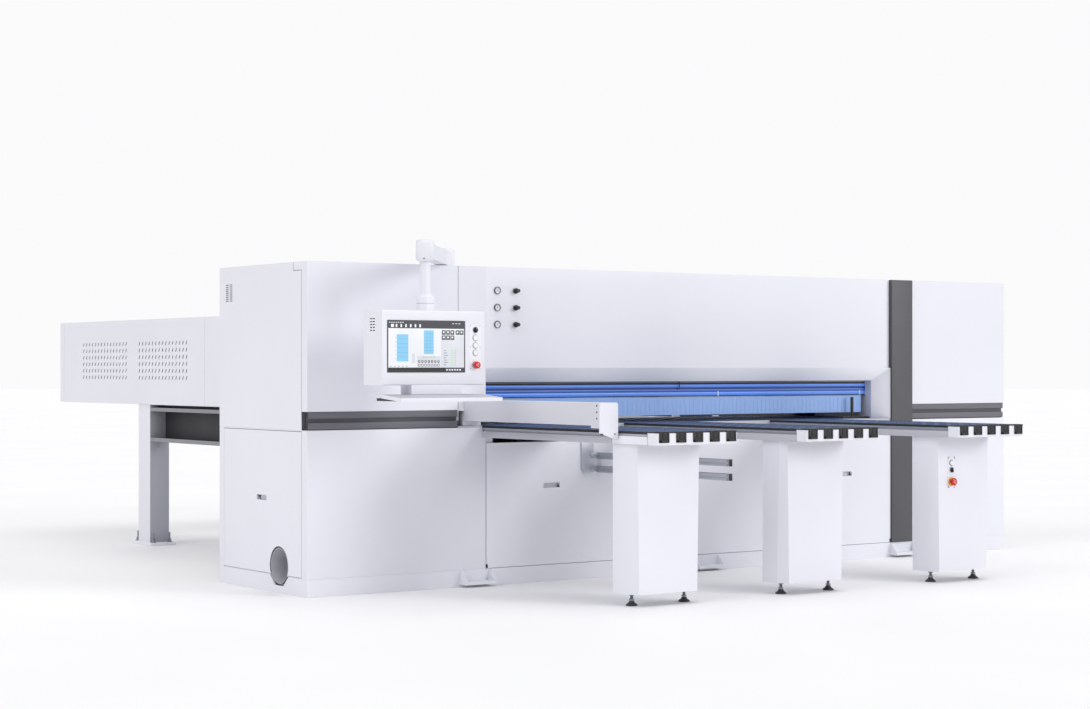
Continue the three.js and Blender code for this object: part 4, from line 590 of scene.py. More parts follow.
# The air and throat table tops take the coats, with painted shade in their holes and a painted reflection of
# the curtain
for i in (1, 2, 3):
    dress("pedestal_%d" % i, white, 0.003, 12, 3, drop=lambda x, y, z, n: z < 65.5)
    shaded(dress("air_table_%d" % i, table_side, 0.0012), [(table_coat_reflection, table_top)])
for node in ("table_front", "table_rear"):
    shaded(dress(node, table_side, 0.001), [(throat_coat_reflection, table_top)])
# The pressure beam takes the dark painted shade
dress("pressure_beam", beam_dark_shade, 0.002)
# The accessory rails' front ends are painted grey like their sides, painted shade
shaded(dress("accessory_rails", alu, 0.001), [(grey_band_and_painted_light, lambda x, y, z, n: n.y < -0.9 and y < -1200)])
dress("rear_roller_table", alu, 0.001)

# The curtain: its hem raised clear of the tables, its strips widened so that only a line shows between two
STRIP_START, STRIP_PITCH, STRIP_WIDTH = 1223.0, 36.0, 33.0
HEM_RAISE, STRIP_WIDENING = 0.034, 0.0008
bm = bmesh.new()
bm.from_mesh(frame["nodes"]["strip_curtain"].data)
foot = min(v.co.z for v in bm.verts)
for v in bm.verts:
    if v.co.z < foot + 0.02:
        v.co.z += HEM_RAISE
    place = (drawn(v.co)[0] - STRIP_START) % STRIP_PITCH
    if abs(place - STRIP_WIDTH) < 0.1:
        v.co.x += STRIP_WIDENING
    elif min(place, STRIP_PITCH - place) < 0.1 and v.co.x > -1.6:
        v.co.x -= STRIP_WIDENING
# The strips take the glowing plastic, painted light
ob = piece("strip_curtain_skin", bm, curtain_plastic, body="curtain")
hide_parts("strip_curtain")

DUCT_Y, DUCT_Z = 337, 156
# The duct's inner faces take the pale grey, painted light
shaded(dress("dust_duct", duct_steel, 0.0006), [
    (duct_inside_lightened, lambda x, y, z, n: (y - DUCT_Y) * n.y + (z - DUCT_Z) * n.z < 0 and abs(n.x) < 0.5)])
dress("saw_unit", machined)
dress("saw_carriage", carriage_paint)
dress("pusher_beam", carriage_paint, 0.0012)
for i in (1, 2, 3):
    dress("gripper_jaw_%d" % i, steel, 0.0008, smooth=12)
dress("side_aligner", black_gloss, 0.001)
repaint("console_screen", screen_glass)
# The blades' teeth are carbide and their flanges machined
FLANGE_RADIUS = 40
for node, centre, reach in (("main_blade", (800.0, 690.0), 193.0), ("scoring_blade", (1110.0, 716.0), 85.0)):
    shaded(repaint(node, blade_steel), [
        (carbide, lambda x, y, z, n, c=centre, r=reach: math.hypot(x - c[0], z - c[1]) > r),
        (machined, lambda x, y, z, n, c=centre: math.hypot(x - c[0], z - c[1]) < FLANGE_RADIUS)])


# Small fittings

def screw_head(bm, x, y, z, axis, radius, height, sign=-1):
    """A domed screw with a socket, its head standing out along an axis."""
    h = height * sign
    add_lathe(bm, [[0.0, h * 0.3], [radius * 0.42, h * 0.3], [radius * 0.46, h], [radius * 0.75, h * 0.95],
                   [radius, h * 0.5], [radius, 0.0]], (x, y, z), axis, 20)


def lathes(name, profile, places, axis, sides, material, smooth=35, ring=False, body="machine"):
    """A piece made of turned bodies of one profile."""
    bm = bmesh.new()
    for place in places:
        add_lathe(bm, profile, place, axis, sides, ring)
    piece(name, bm, material, smooth, body)


def hex_nut(bm, x, y, z, radius, height):
    add_lathe(bm, [[0.0, height], [radius * 0.78, height], [radius, height * 0.85], [radius, 0.0], [0.0, 0.0]],
              (x, y, z), 2, 6)


def screws(name, material, places, axis, radius, height, sign=-1, body="machine"):
    bm = bmesh.new()
    for place in places:
        screw_head(bm, *place, axis, radius, height, sign)
    piece(name, bm, material, 40, body)


# Gauges: dark ring, pale dial with graduations, and a needle
GAUGE_X, KNOB_X, KNOB_SIDES = 1287, 1417, 60
GAUGE_RING = [[18.2, -4.1], [18.2, -6.4], [19.0, -7.6], [21.0, -7.8], [22.0, -7.0], [22.0, -0.2], [21.6, -0.2],
              [21.6, -4.1]]
GAUGE_DIAL = [[0.0, -4.5], [18.2, -4.5], [18.2, -4.05], [0.0, -4.05]]
KNOB_PROFILE = [[0.0, -42.0], [9.6, -42.0], [10.8, -41.2], [11.3, -39.5], [11.0, -19.5], [11.6, -18.2],
                [14.6, -18.2], [16.0, -17.2], [16.5, -15.5], [16.5, -4.0], [15.6, -2.6], [14.6, -0.3],
                [0.0, -0.3]]


def dial_mark(bm, z, degrees, outline, front, back):
    """A thin shape on a dial, its outline given along and across a direction from the dial's centre."""
    a = math.radians(degrees)
    u, v = Vector((math.cos(a), 0, math.sin(a))), Vector((-math.sin(a), 0, math.cos(a)))
    add_between(bm, *[[bm.verts.new(at(GAUGE_X, y, z) + (u * r + v * s) / 1000) for r, s in outline]
                      for y in (front, back)])


def fluted(radius, height, k):
    """The knob's radius with the collar's flutes at every third place round it, the grip's at every fourth."""
    if radius > 15.5 and -17 < height < -2.7 and k % 3 == 0:
        return radius * 0.955
    if 10.9 < radius < 11.5 and k % 4 == 0:
        return radius * 0.95
    return radius


for i, z in enumerate((1759, 1657, 1556), 1):
    middle = (GAUGE_X, 0, z)
    lathes("gauge_ring_%d" % i, GAUGE_RING, [middle], 1, 48, black_gloss, 40, True)
    lathes("gauge_dial_%d" % i, GAUGE_DIAL, [middle], 1, 48, dial_white, 40)
    bm = bmesh.new()
    for k in range(28):
        start, half = (12.5, 0.5) if k % 3 == 0 else (14.4, 0.28)
        outline = [(start, -half), (16.4, -half), (16.4, half), (start, half)]
        dial_mark(bm, z, 225 - k * 10, outline, -4.75, -4.5)
    dial_mark(bm, z, 160 - 35 * i, [(-4.0, -0.8), (13.0, -0.25), (13.0, 0.25), (-4.0, 0.8)], -5.3, -4.9)
    add_lathe(bm, [[0.0, -5.7], [1.8, -5.7], [2.0, -5.2], [2.0, -4.5], [0.0, -4.5]], middle, 1, 20)
    piece("gauge_marks_%d" % i, bm, black_gloss, 40)

    # Regulator knob: a fluted collar on the panel and a slim grip
    bm = bmesh.new()
    rings = []
    for radius, height in KNOB_PROFILE:
        ring = []
        for k in range(KNOB_SIDES if radius else 1):
            a = 2 * math.pi * k / KNOB_SIDES
            r = fluted(radius, height, k)
            ring.append(bm.verts.new(at(KNOB_X + r * math.cos(a), height, z + r * math.sin(a))))
        rings.append(ring)
    bmesh.ops.recalc_face_normals(bm, faces=add_bands(bm, rings))
    ob = piece("regulator_knob_%d_detail" % i, bm, black_gloss, 30, body="knob_%d" % i)
    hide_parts("regulator_knob_%d" % i)


# Air tables: edge strips, nozzle rows, end caps with bumpers
HALF_WIDTH, TABLE_END, CAP_DEPTH = 275, -1600.3, 87.6
CAP_FACE = TABLE_END - CAP_DEPTH
TABLE_TRIM = [(0, 929.6), (0.6, 930.1), (0.6, 934.0), (0.15, 934.4), (0.15, 935.6), (0.6, 936.0), (0.6, 939.9),
              (0, 940.4)]
TABLE_NOZZLE = [[0.0, 0.12], [4.0, 0.12], [5.0, 0.5], [13.0, 0.45], [15.0, 0.1], [15.0, -0.3]]
THROAT_NOZZLE = [[0.0, 0.35], [5.0, 0.35], [6.5, 1.0], [16.0, 0.9], [18.5, 0.1], [18.5, -0.3]]


def bumper(bm, x):
    """A rubber pad that laps over the cap's top edge and down its face, with a stepped pocket in it."""
    add_soft_box(bm, (x - 33, CAP_FACE - 4.4, 897), (x + 33, CAP_FACE + 0.4, 955.2), 0.0012)
    for xa, xb, za, zb in ((-33, -17, 898, 954.6), (22, 33, 898, 954.6), (-33, 33, 897, 911),
                           (-12, 17, 915, 950)):
        add_soft_box(bm, (x + xa, CAP_FACE - 6.8, za), (x + xb, CAP_FACE - 3.6, zb), 0.0016)
    lip = [(-5.2, 950.5), (-6.6, 953.4), (-4.8, 955.9), (44, 955.9), (50, 953.2), (0.3, 953.2), (0.3, 950.5)]
    part = bmesh.new()
    add_prism(part, [(CAP_FACE + y, z) for y, z in lip], 0, x - 33, x + 33)
    bevel(part, 0.001, 2, 40)
    merge(bm, part)
    for left in range(-25, 31, 14):
        add_soft_box(bm, (x + left, CAP_FACE + 4, 955.4), (x + left + 8, CAP_FACE + 40, 955.98), 0.0002)


for i, c in enumerate((1455, 2515, 3716), 1):
    for side, name in ((-1, "left"), (1, "right")):
        e = c + side * HALF_WIDTH
        edges = [((e, -1599.5, 940.5), (e + side * 0.5, -1.0, 953.3)),
                 ((e - side * 9, -1599.5, 952.9), (e + side * 0.5, -1.0, 954.2))]
        boxes("table_edge_%s_%d" % (name, i), edges, black, 0.0002, 1, 40)
        bm = bmesh.new()
        add_prism(bm, [(e + side * x, z) for x, z in TABLE_TRIM], 1, -1599.5, -1.0)
        piece("table_trim_%s_%d" % (name, i), bm, alu, 40)
    places = [(c - 212 + col * 106, -90 - row * 104, TABLE_TOP) for row in range(15) for col in range(5)]
    lathes("table_nozzles_%d" % i, TABLE_NOZZLE, places, 2, 16, black_gloss)
    # End cap
    bm = bmesh.new()
    add_box(bm, (c - HALF_WIDTH, CAP_FACE, 884), (c + HALF_WIDTH, TABLE_END, 952.9))
    bevel(bm, 0.0045, 4, 20)
    add_soft_box(bm, (c - 268, TABLE_END - 60, 881.4), (c + 268, TABLE_END - 1, 885))
    ob = piece("end_cap_%d_detail" % i, bm, white, 30)
    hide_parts("table_end_cap_%d" % i)
    for k in range(5):
        bm = bmesh.new()
        bumper(bm, c + (k - 2) * 116)
        piece("bumper_%d_%d" % (i, k + 1), bm, black)
    boxes("cap_band_%d" % i, [((c - 275.6, CAP_FACE - 1, 947.6), (c + 275.6, TABLE_END - 0.5, 954.2))],
          black, 0.001)
boxes("table_side_plate", [((1178.9, -1599, 883.5), (1180.2, -1290, 928))], white, 0.0005)

# Dark strips behind the open joint of the left upper cabinet
boxes("cover_seam", [((0.9, 64.8, 1050), (2.6, 68.6, 1852)), ((0.9, 64.8, 1848.8), (2.6, 164.4, 1852.2)),
                     ((0.9, 160.8, 1850), (2.6, 164.4, 1897))], seam_dark)


# Throat tables: round air nozzles in staggered rows, behind and in front of the saw slot
places = [(x, first + row * pitch, TABLE_TOP)
          for first, pitch, rows, end in ((350, 104, 7, 4500), (52, 200, 2, 4160))
          for row in range(rows) for x in range(1262 + 53 * (row % 2), end, 106)]
lathes("air_nozzles", THROAT_NOZZLE, places, 2, 20, black_gloss)
for name, y in (("front", 286.5), ("rear", 307.2)):
    boxes("slot_strip_%s" % name, [((1208.6, y, 952.6), (4531.4, y + 6.2, 953.6))], alu,
          0.0003, 1, 40)


# Curtain rail: three rolled bars and a groove under a grey band, with end plate, screws, clips and hooks
RAIL_X = (1223, 4420)
bm = bmesh.new()
add_prism(bm, [(157.5, 1111.2), (157.5, 1210.4), (134, 1210.4), (134, 1111.2)], 0, *RAIL_X)
ob = piece("curtain_rail_detail", bm, band_black, 28)
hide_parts("curtain_rail")


def rail_bar(name, material, z0, z1, front, bulge):
    """A bar along the rail between two heights, its face bulging forward to a place of y."""
    steps = 8
    points = []
    for k in range(steps + 1):
        a = math.pi / 2 - math.pi * k / steps
        points.append((front + bulge - bulge * math.cos(a), (z0 + z1) / 2 + (z1 - z0) / 2 * math.sin(a)))
    bm = bmesh.new()
    add_prism(bm, [(134.2, z1)] + points + [(134.2, z0)], 0, *RAIL_X)
    piece(name, bm, material, 28)


rail_bar("rail_top_band", grey_band_and_painted_light, 1199.5, 1210.2, 131, 0.6)
# The upper and lower bars take the glowing blue, painted light
rail_bar("rail_upper_bar", bar_blue_glow, 1171.5, 1190, 128.4, 3.4)
rail_bar("rail_groove", bar_navy, 1159, 1171.3, 132.5, 0.4)
rail_bar("rail_middle_bar", bar_mid, 1143.5, 1158.8, 129.2, 2.2)
rail_bar("rail_lower_bar", bar_blue_glow, 1117, 1141.5, 128.2, 3.8)
boxes("rail_end_plate", [((4420, 127.5, 1110.8), (4423.5, 158, 1210.4))], white_plastic, 0.0006)
screws("rail_end_screws", steel, [(4423.5, 143, z) for z in (1195, 1160, 1126)], 0, 4.2, 1.8, 1)
screws("rail_joint_screws", steel, [(x, 128.4, 1128) for x in range(1420, 4400, 420)], 1, 3.4, 1.2)
boxes("rail_joint_clips", [((x - 3.5, 127.6, 1115), (x + 3.5, 129.5, 1145)) for x in (3107, 4365)],
      white_plastic, 0.0005)
bm = bmesh.new()
for x in (2776, 4440):
    points = [Vector((x, 126 - 6 * math.sin(math.pi * k / 12) - 2, 1208 - k * 4.2)) for k in range(13)]
    for a, b in zip(points, points[1:]):
        add_box(bm, (x - 2.2, min(a.y, b.y) - 2, min(a.z, b.z) - 0.3),
                (x + 2.2, max(a.y, b.y) + 2, max(a.z, b.z) + 0.3))
piece("curtain_hooks", bm, black_gloss, 60)


# Levelling feet of the pedestals: a pad and a threaded stem with two nuts
FOOT_Y, FOOT_REACH = -1357, 183
FOOT_PAD = [[0.0, 0.3], [30.5, 0.3], [32.0, 2.0], [32.0, 6.0], [29.0, 9.0], [20.0, 15.0], [15.0, 22.0],
            [14.0, 26.0], [0.0, 26.0]]
FOOT_THREAD = [[8.6 - 0.8 * (k % 2), 26 + k * 1.4] for k in range(31)]
for i, c in enumerate((1443, 2521, 3725), 1):
    places = [(c + side * FOOT_REACH, FOOT_Y, 0) for side in (-1, 1)]
    lathes("foot_pads_%d" % i, FOOT_PAD, places, 2, 32, foot_dark)
    bm = bmesh.new()
    for x, y, z in places:
        add_lathe(bm, [[0.0, 24.0]] + FOOT_THREAD + [[0.0, 69.4]], (x, y, z), 2, 20)
        hex_nut(bm, x, y, 29, 15.5, 9)
        hex_nut(bm, x, y, 55, 15.5, 9.5)
    piece("foot_stems_%d" % i, bm, steel, 40)


# Pedestal switch plate with its marks, and the switches
PX, PY = 3623, -1452.0
PZ_BUTTON, PZ_SELECTOR, PZ_STOP = 722, 678, 608


def ring_sector(bm, x, y, z, r0, r1, thick, a0=0, a1=360, n=40):
    """A flat ring, or the part of one between two angles in degrees."""
    full = a1 - a0 == 360
    rows = []
    for k in range(n if full else n + 1):
        a = math.radians(a0 + (a1 - a0) * k / n)
        rows.append([bm.verts.new(at(x + r * math.cos(a), yy, z + r * math.sin(a)))
                     for r, yy in ((r0, y), (r1, y), (r1, y - thick), (r0, y - thick))])
    made = add_bands(bm, rows + rows[:1] if full else rows)
    if not full:
        made += [bm.faces.new(rows[0]), bm.faces.new(rows[-1][::-1])]
    bmesh.ops.recalc_face_normals(bm, faces=made)


bm = bmesh.new()
for sx in (-1, 1):
    for z, sz in ((758, -1), (572, 1)):
        x = PX + sx * 29
        for width, height in ((12, 3), (3, 14)):
            add_box(bm, (x, PY - 0.5, z), (x - sx * width, PY + 0.2, z + sz * height))
ring_sector(bm, PX, PY - 0.1, PZ_BUTTON, 15.5, 18.0, 0.7)
ring_sector(bm, PX, PY - 0.1, PZ_SELECTOR, 16.5, 19.0, 0.7, 30, 150, 16)
piece("switch_plate_marks", bm, black_gloss, 40)
bm = bmesh.new()
ring_sector(bm, PX, PY - 0.05, PZ_STOP, 14.8, 27.5, 2.4, n=48)
bevel(bm, 0.0006)
piece("stop_ring", bm, yellow_plastic, 40)

# The part of a switch that goes through its plate
STEM, STEM_END = 10.3, 13.5


def push_button(name, body, node, x, y, z, cap, proud):
    bm = bmesh.new()
    add_lathe(bm, [[0.0, 0.8 - proud], [cap * 0.6, 0.4 - proud], [cap * 0.86, -proud],
                   [cap * 0.97, 0.6 - proud], [cap, 1.6 - proud], [cap, -4.3], [cap - 1.2, -4.3], [STEM, -4.3],
                   [STEM, STEM_END], [0.0, STEM_END]], (x, y, z), 1, 40)
    ob = piece(name, bm, white_plastic, body=body)
    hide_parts(node)


def button_bezel(name, x, y, z, r0, r1):
    """The fixed rim round a console button, clear of its cap. Its grey is painted shade round the button."""
    profile = [[r0, -0.4], [r0, -3.2], [r0 + 1.0, -3.8], [r1 - 1.2, -3.8], [r1, -2.8], [r1, -0.4]]
    lathes(name, profile, [(x, y, z)], 1, 40, rim_grey_shade, ring=True, body="console")


def stop_switch(name, body, node, x, y, z, r):
    """Mushroom stop button with a shallow dome and a twist ring."""
    bm = bmesh.new()
    add_lathe(bm, [[0.0, -30.0], [r * 0.45, -29.8], [r * 0.8, -28.6], [r * 0.96, -26.2], [r, -23.0], [r, -17.5],
                   [r * 0.94, -15.4], [r * 0.62, -13.0], [r * 0.6, -8.0], [10.6, -7.9], [10.6, 13.6],
                   [0.0, 13.6]], (x, y, z), 1, 48)
    ob = piece(name, bm, red_plastic, body=body)
    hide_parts(node)
    bm = bmesh.new()
    for k in range(3):
        ring_sector(bm, x, y - 29.2, z, r * 0.3, r * 0.42, 0.8, k * 120 + 15, k * 120 + 95, 12)
    piece(name + "_arrows", bm, white_plastic, 40, body=body)


def selector_switch(name, body, node, x, y, z, r):
    """Round selector with a raised grip and a pale mark at the grip's upper end."""
    bm = bmesh.new()
    add_lathe(bm, [[0.0, -8.0], [r * 0.8, -8.0], [r * 0.96, -7.4], [r, -6.4], [r, -4.3], [STEM, -4.3],
                   [STEM, STEM_END], [0.0, STEM_END]], (x, y, z), 1, 40)
    add_soft_box(bm, (x - 4.0, y - 16, z - r * 0.96), (x + 4.0, y - 5, z + r * 0.96), 0.0016, 3)
    ob = piece(name, bm, black_gloss, body=body)
    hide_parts(node)
    mark = ((x - 0.8, y - 16.25, z + r * 0.25), (x + 0.8, y - 15.9, z + r * 0.85))
    boxes(name + "_mark", [mark], white_plastic, smooth=40, body=body)


push_button("pedestal_button_detail", "pedestal_push", "pedestal_button", PX, PY, PZ_BUTTON, 14, 8)
selector_switch("pedestal_selector_detail", "pedestal_switch", "pedestal_selector", PX, PY, PZ_SELECTOR, 14)
stop_switch("pedestal_stop_detail", "pedestal_stop", "pedestal_stop_button", PX, PY, PZ_STOP, 23)


# Console: switch plate, selector, buttons, stop button and the screen's picture
CX, CY = 718.0, -629.0
CZ_SELECTOR, CZ_BUTTONS, CZ_STOP = 1508.0, (1464.0, 1422.0, 1381.0), 1312.0
PLATE_Z, PLATE_HALF_WIDTH, PLATE_HALF_HEIGHT, CORNER = 1412.5, 36, 125.5, 5
bm = bmesh.new()
outline = [(CX + sx * (PLATE_HALF_WIDTH - d), PLATE_Z + sz * (PLATE_HALF_HEIGHT - CORNER + d))
           for sx, sz in ((1, 1), (-1, 1), (-1, -1), (1, -1)) for d in (0, CORNER)[::sx * sz]]
holes = [round_hole(CX, z, 15.7) for z in (CZ_SELECTOR, *CZ_BUTTONS, CZ_STOP)]
add_plate(bm, outline, holes, 1, CY - 1.2, CY - 0.1)
piece("console_switch_plate", bm, plate_white, 30, body="console")
places = [(CX + sx * 31, CY - 1.2, PLATE_Z + dz) for sx in (-1, 1) for dz in (-120, 0, 120)]
screws("switch_plate_screws", steel, places, 1, 2.6, 1.1, body="console")
for k, z in enumerate(CZ_BUTTONS, 1):
    button_bezel("button_rim_%d" % k, CX, CY - 0.9, z, 15.8, 18.4)
    push_button("console_button_%d_detail" % k, "button_%d" % k, "console_button_%d" % k, CX, CY, z, 15, 8.6)
button_bezel("selector_rim", CX, CY - 0.9, CZ_SELECTOR, 15.8, 17.6)
selector_switch("console_selector_detail", "selector", "console_selector", CX, CY, CZ_SELECTOR, 15)
# The stop button's ring takes the rims' grey, painted shade
bm = bmesh.new()
ring_sector(bm, CX, CY - 1.25, CZ_STOP, 15.8, 21.0, 1.6, n=48)
piece("console_stop_ring", bm, rim_grey_shade, 40, body="console")
stop_switch("console_stop_detail", "stop_button", "console_stop_button", CX, CY, CZ_STOP, 20)

SCREEN_LEFT, SCREEN_TOP, SCREEN_WIDTH, SCREEN_HEIGHT = 147.0, 1557.0, 503.0, 286.0
LAYER = 0.12


def on_screen(u, v):
    """The x and z of a place given in shares of the screen's width and height from its top left corner."""
    return SCREEN_LEFT + u * SCREEN_WIDTH, SCREEN_TOP - v * SCREEN_HEIGHT


def shapes(name, material, rects, layer=0):
    """Flat rectangles of the screen's picture, each given by its left, top, right and bottom shares."""
    y = CY - 2.05 - layer * LAYER
    places = []
    for u0, v0, u1, v1 in rects:
        (x0, z0), (x1, z1) = on_screen(u0, v0), on_screen(u1, v1)
        places.append(((x0, y - LAYER, z1), (x1, y, z0)))
    boxes(name, places, material, smooth=40, body="console")


def run(count, u, v, width, height, step_u=0.0, step_v=0.0):
    """Equal rectangles in a row or a column."""
    corners = [(u + k * step_u, v + k * step_v) for k in range(count)]
    return [(left, top, left + width, top + height) for left, top in corners]


shapes("screen_frame", ui_frame, [(0.0, 0.0, 1.0, 1.0)])
shapes("screen_field", ui_light, [(0.012, 0.155, 0.985, 0.905)], 1)
shapes("screen_bars", ui_bar, [(0.012, 0.03, 0.985, 0.15)], 1)
shapes("screen_taskbar", ui_black, [(0.012, 0.912, 0.74, 0.985)], 1)
shapes("screen_taskbar_end", ui_bar, [(0.742, 0.912, 0.985, 0.985)], 1)
shapes("screen_panels", ui_panel,
       [(0.685, 0.29, 0.983, 0.9), (0.378, 0.685, 0.68, 0.9), (0.31, 0.64, 0.348, 0.82)], 2)
shapes("screen_blocks", ui_blue, [(0.119, 0.27, 0.265, 0.79), (0.463, 0.19, 0.59, 0.645)], 2)
lines = run(5, 0.119, 0.268 + 0.52 / 6, 0.146, 0.004, 0, 0.52 / 6)
lines += run(6, 0.463, 0.253, 0.127, 0.004, 0, 0.065)
lines += [(0.463 + 0.127 * s - 0.0008, 0.19, 0.463 + 0.127 * s + 0.0008, 0.645) for s in (0.33, 0.64)]
shapes("screen_block_lines", ui_line, lines, 3)
icons = [(0.045, 0.075, 0.083, 0.135)] + run(6, 0.105, 0.075, 0.02, 0.06, 0.06)
icons += run(7, 0.02, 0.036, 0.018, 0.014, 0.028) + run(3, 0.83, 0.05, 0.026, 0.012, 0.04)
icons += run(6, 0.752, 0.935, 0.022, 0.027, 0.034)
shapes("screen_icons", ui_pale, icons, 3)
keys = run(3, 0.695, 0.185, 0.05, 0.085, 0.056) + run(3, 0.695, 0.285, 0.05, 0.085, 0.056)
keys += run(2, 0.874, 0.185, 0.05, 0.085, 0.054)
shapes("screen_keys", ui_bar, keys, 3)
shapes("screen_key_marks", ui_pale, [(u + 0.013, v + 0.02, u + 0.036, v + 0.055) for u, v, _, _ in keys], 4)
shapes("screen_cells", ui_green, run(7, 0.81, 0.565, 0.04, 0.025, 0, 0.046), 3)
rows = [(0.72, 0.57 + 0.046 * k, 0.75 + 0.012 * (k % 3), 0.585 + 0.046 * k) for k in range(7)]
rows += run(7, 0.865, 0.57, 0.01, 0.015, 0, 0.046) + run(5, 0.45, 0.7, 0.02, 0.012, 0.035)
rows += run(5, 0.03, 0.875, 0.025, 0.013, 0.05) + run(6, 0.105, 0.33, 0.008, 0.012, 0, 0.08)
shapes("screen_rows", ui_grey, rows, 3)
disks, signs = bmesh.new(), bmesh.new()
for r in range(2):
    for k in range(7):
        x, z = on_screen(0.402 + 0.0415 * k, 0.788 + 0.073 * r)
        add_lathe(disks, [[0.0, 0.0], [7.4, 0.0], [7.4, LAYER], [0.0, LAYER]], (x, CY - 2.55, z), 1, 20)
        if r:
            add_lathe(signs, [[0.0, 0.0], [4.6, 0.0], [4.6, LAYER], [0.0, LAYER]], (x, CY - 2.68, z), 1, 16)
        else:
            add_box(signs, (x - 3, CY - 2.68, z - 1.5), (x + 3, CY - 2.55, z + 3.5))
piece("screen_round_keys", disks, ui_bar, 40, body="console")
piece("screen_round_marks", signs, ui_pale, 40, body="console")


# Rear cover: a folded box with two groups of slanted vent slots, and two panel joints
COVER_FACE, COVER_START, COVER_END, COVER_BOTTOM, COVER_TOP = 790.0, 1095.3, 5495.0, 1028.0, 1652.0
JOINTS, HALF_GAP = (2918.0, 5417.0), 1.3
SLOT_STARTS, SLOT_PITCH = (3206.0, 4237.0), 56.7


def slot_outline(y, z):
    """One slot with rounded ends, its top leaning towards the body."""
    lean, rise, half = 17.0, 29.0, 5.6
    length = math.hypot(lean, rise)
    u = Vector((-lean / length, rise / length))
    v = Vector((u.y, -u.x))
    ends = []
    for end, turn in ((1, 0), (-1, 180)):
        middle = Vector((y, z)) + u * (length / 2 - half) * end
        for k in range(5):
            a = math.radians(turn + k * 45)
            ends.append(tuple(middle + v * half * math.cos(a) + u * half * math.sin(a)))
    return ends


bm = bmesh.new()
slots = [slot_outline(start + SLOT_PITCH * column, 1475.0 - row * 50.0)
         for start in SLOT_STARTS for row in range(6) for column in range(15)]
for low, high, holes in ((COVER_START, JOINTS[0] - HALF_GAP, []),
                         (JOINTS[0] + HALF_GAP, JOINTS[1] - HALF_GAP, slots),
                         (JOINTS[1] + HALF_GAP, COVER_END, [])):
    outline = [(low, COVER_BOTTOM), (high, COVER_BOTTOM), (high, COVER_TOP), (low, COVER_TOP)]
    add_plate(bm, outline, holes, 0, COVER_FACE + 0.2, COVER_FACE + 2.6)
# Its top, bottom, inner side and two ends
for low, high in (((790.6, 1095.3, 1649), (1202, 5495, 1652)), ((790.6, 1095.3, 1028), (1202, 5495, 1031)),
                  ((1199, 1095.3, 1029), (1202, 5495, 1651)), ((791, 5492, 1029), (1201, 5495, 1651)),
                  ((791, 1095.3, 1029), (1201, 1098, 1651))):
    add_soft_box(bm, low, high, 0.0009, 1)
ob = piece("rear_cover_detail", bm, white, 30)
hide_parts("rear_cover_left")
boxes("rear_cover_backing", [((793, y - 12, 1031), (794.5, y + 12, 1649)) for y in JOINTS], grey,
      smooth=30)
bm = bmesh.new()
add_soft_box(bm, (1010, 1300, 1060), (1192, 5380, 1330), 0.004)
add_soft_box(bm, (960, 1300, 1330), (1192, 5380, 1346), 0.002)
piece("rear_cover_ducting", bm, dark_and_shade, 30)
boxes("rear_cover_packer", [((862, 1096, 1007.2), (922, 3823, 1027.7))], dark_and_shade,
      0.001, smooth=30)


# Rear frames: lipped channel, post on its plate with studs, and the rail for the pusher. The right frame
# mirrors the left one, and their places along x add up to MIRROR.
MIRROR = 5737.0
CHANNEL = [(795, 1007), (925, 1007), (925, 759), (795, 759), (795, 788), (801, 788), (801, 765), (919, 765),
           (919, 1001), (801, 1001), (801, 980), (795, 980)]
STUD_THREAD = [[6.6 - 0.5 * (k % 2), 88.0 - k * 2.2] for k in range(30)]


def side_frame(name, node, mirrored):
    def across(x):
        return MIRROR - x if mirrored else x

    def box(x, y, z, width=0.0015):
        add_soft_box(bm, (across(x[0]), y[0], z[0]), (across(x[1]), y[1], z[1]), width)

    def rod(x, y, profile, sides):
        add_lathe(bm, profile, (across(x), y, 0), 2, sides)

    bm = bmesh.new()
    box((795, 947), (3824, 4026), (10, 1027.6), 0.004)
    box((771, 971), (3755, 4095), (0, 20), 0.002)
    ob = piece(name + "_post", bm, white, 30)
    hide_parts(node)
    shaded(ob, [(post_shade, lambda x, y, z, n: n.y < -0.7 and z > 21)])
    bm = bmesh.new()
    add_prism(bm, [(across(x), z) for x, z in CHANNEL], 1, 1095.6, 3824)
    bevel(bm, 0.0012)
    # Painted shade: the channel is dark for the shade in its web
    ob = piece(name + "_channel", bm, dark_and_shade, 30)
    # Painted light: the channel's lips are grey, a lit copy of the dark channel
    shaded(ob, [(grey_band_and_painted_light, lambda x, y, z, n: across(x) < 796 and abs(n.x) > 0.6)])
    bm = bmesh.new()
    for y in (1115, 2560.5, 3824):
        box((925, 1252), (y, y + 152), (993, 1027.6))
        box((1208, 1252), (y, y + 152), (994, 1101))
    piece(name + "_brackets", bm, grey, 30)
    bm = bmesh.new()
    box((1208, 1252), (460, 5492), (1100, 1150))
    box((1216, 1244), (480, 5480), (1150, 1153), 0.0008)
    piece(name + "_rail", bm, machined, 30)
    bm = bmesh.new()
    for x in (807, 935):
        for y in (3791, 4059):
            rod(x, y, [[0.0, 92.0], [5.0, 92.0], [6.6, 90.0]] + STUD_THREAD + [[6.6, 12.0], [0.0, 12.0]], 20)
            rod(x, y, [[0.0, 45.5], [10.0, 45.5], [13.6, 43.0], [13.6, 24.0], [0.0, 24.0]], 6)
            rod(x, y, [[0.0, 24.2], [19.0, 24.2], [20.0, 23.2], [20.0, 19.5], [0.0, 19.5]], 28)
    piece(name + "_studs", bm, steel, 40)


side_frame("rear_left", "rear_frame_left", False)
side_frame("rear_right", "rear_frame_right", True)


# Locating blocks on the plinth, screw and seam of the console's arm, fence screws and small feet, rail caps
ARM_PIVOT = at(447, -537, 0)


def turn_about_arm(bm, degrees):
    turn = Matrix.Rotation(math.radians(degrees), 4, "Z")
    for v in bm.verts:
        v.co = turn @ (v.co - ARM_PIVOT) + ARM_PIVOT


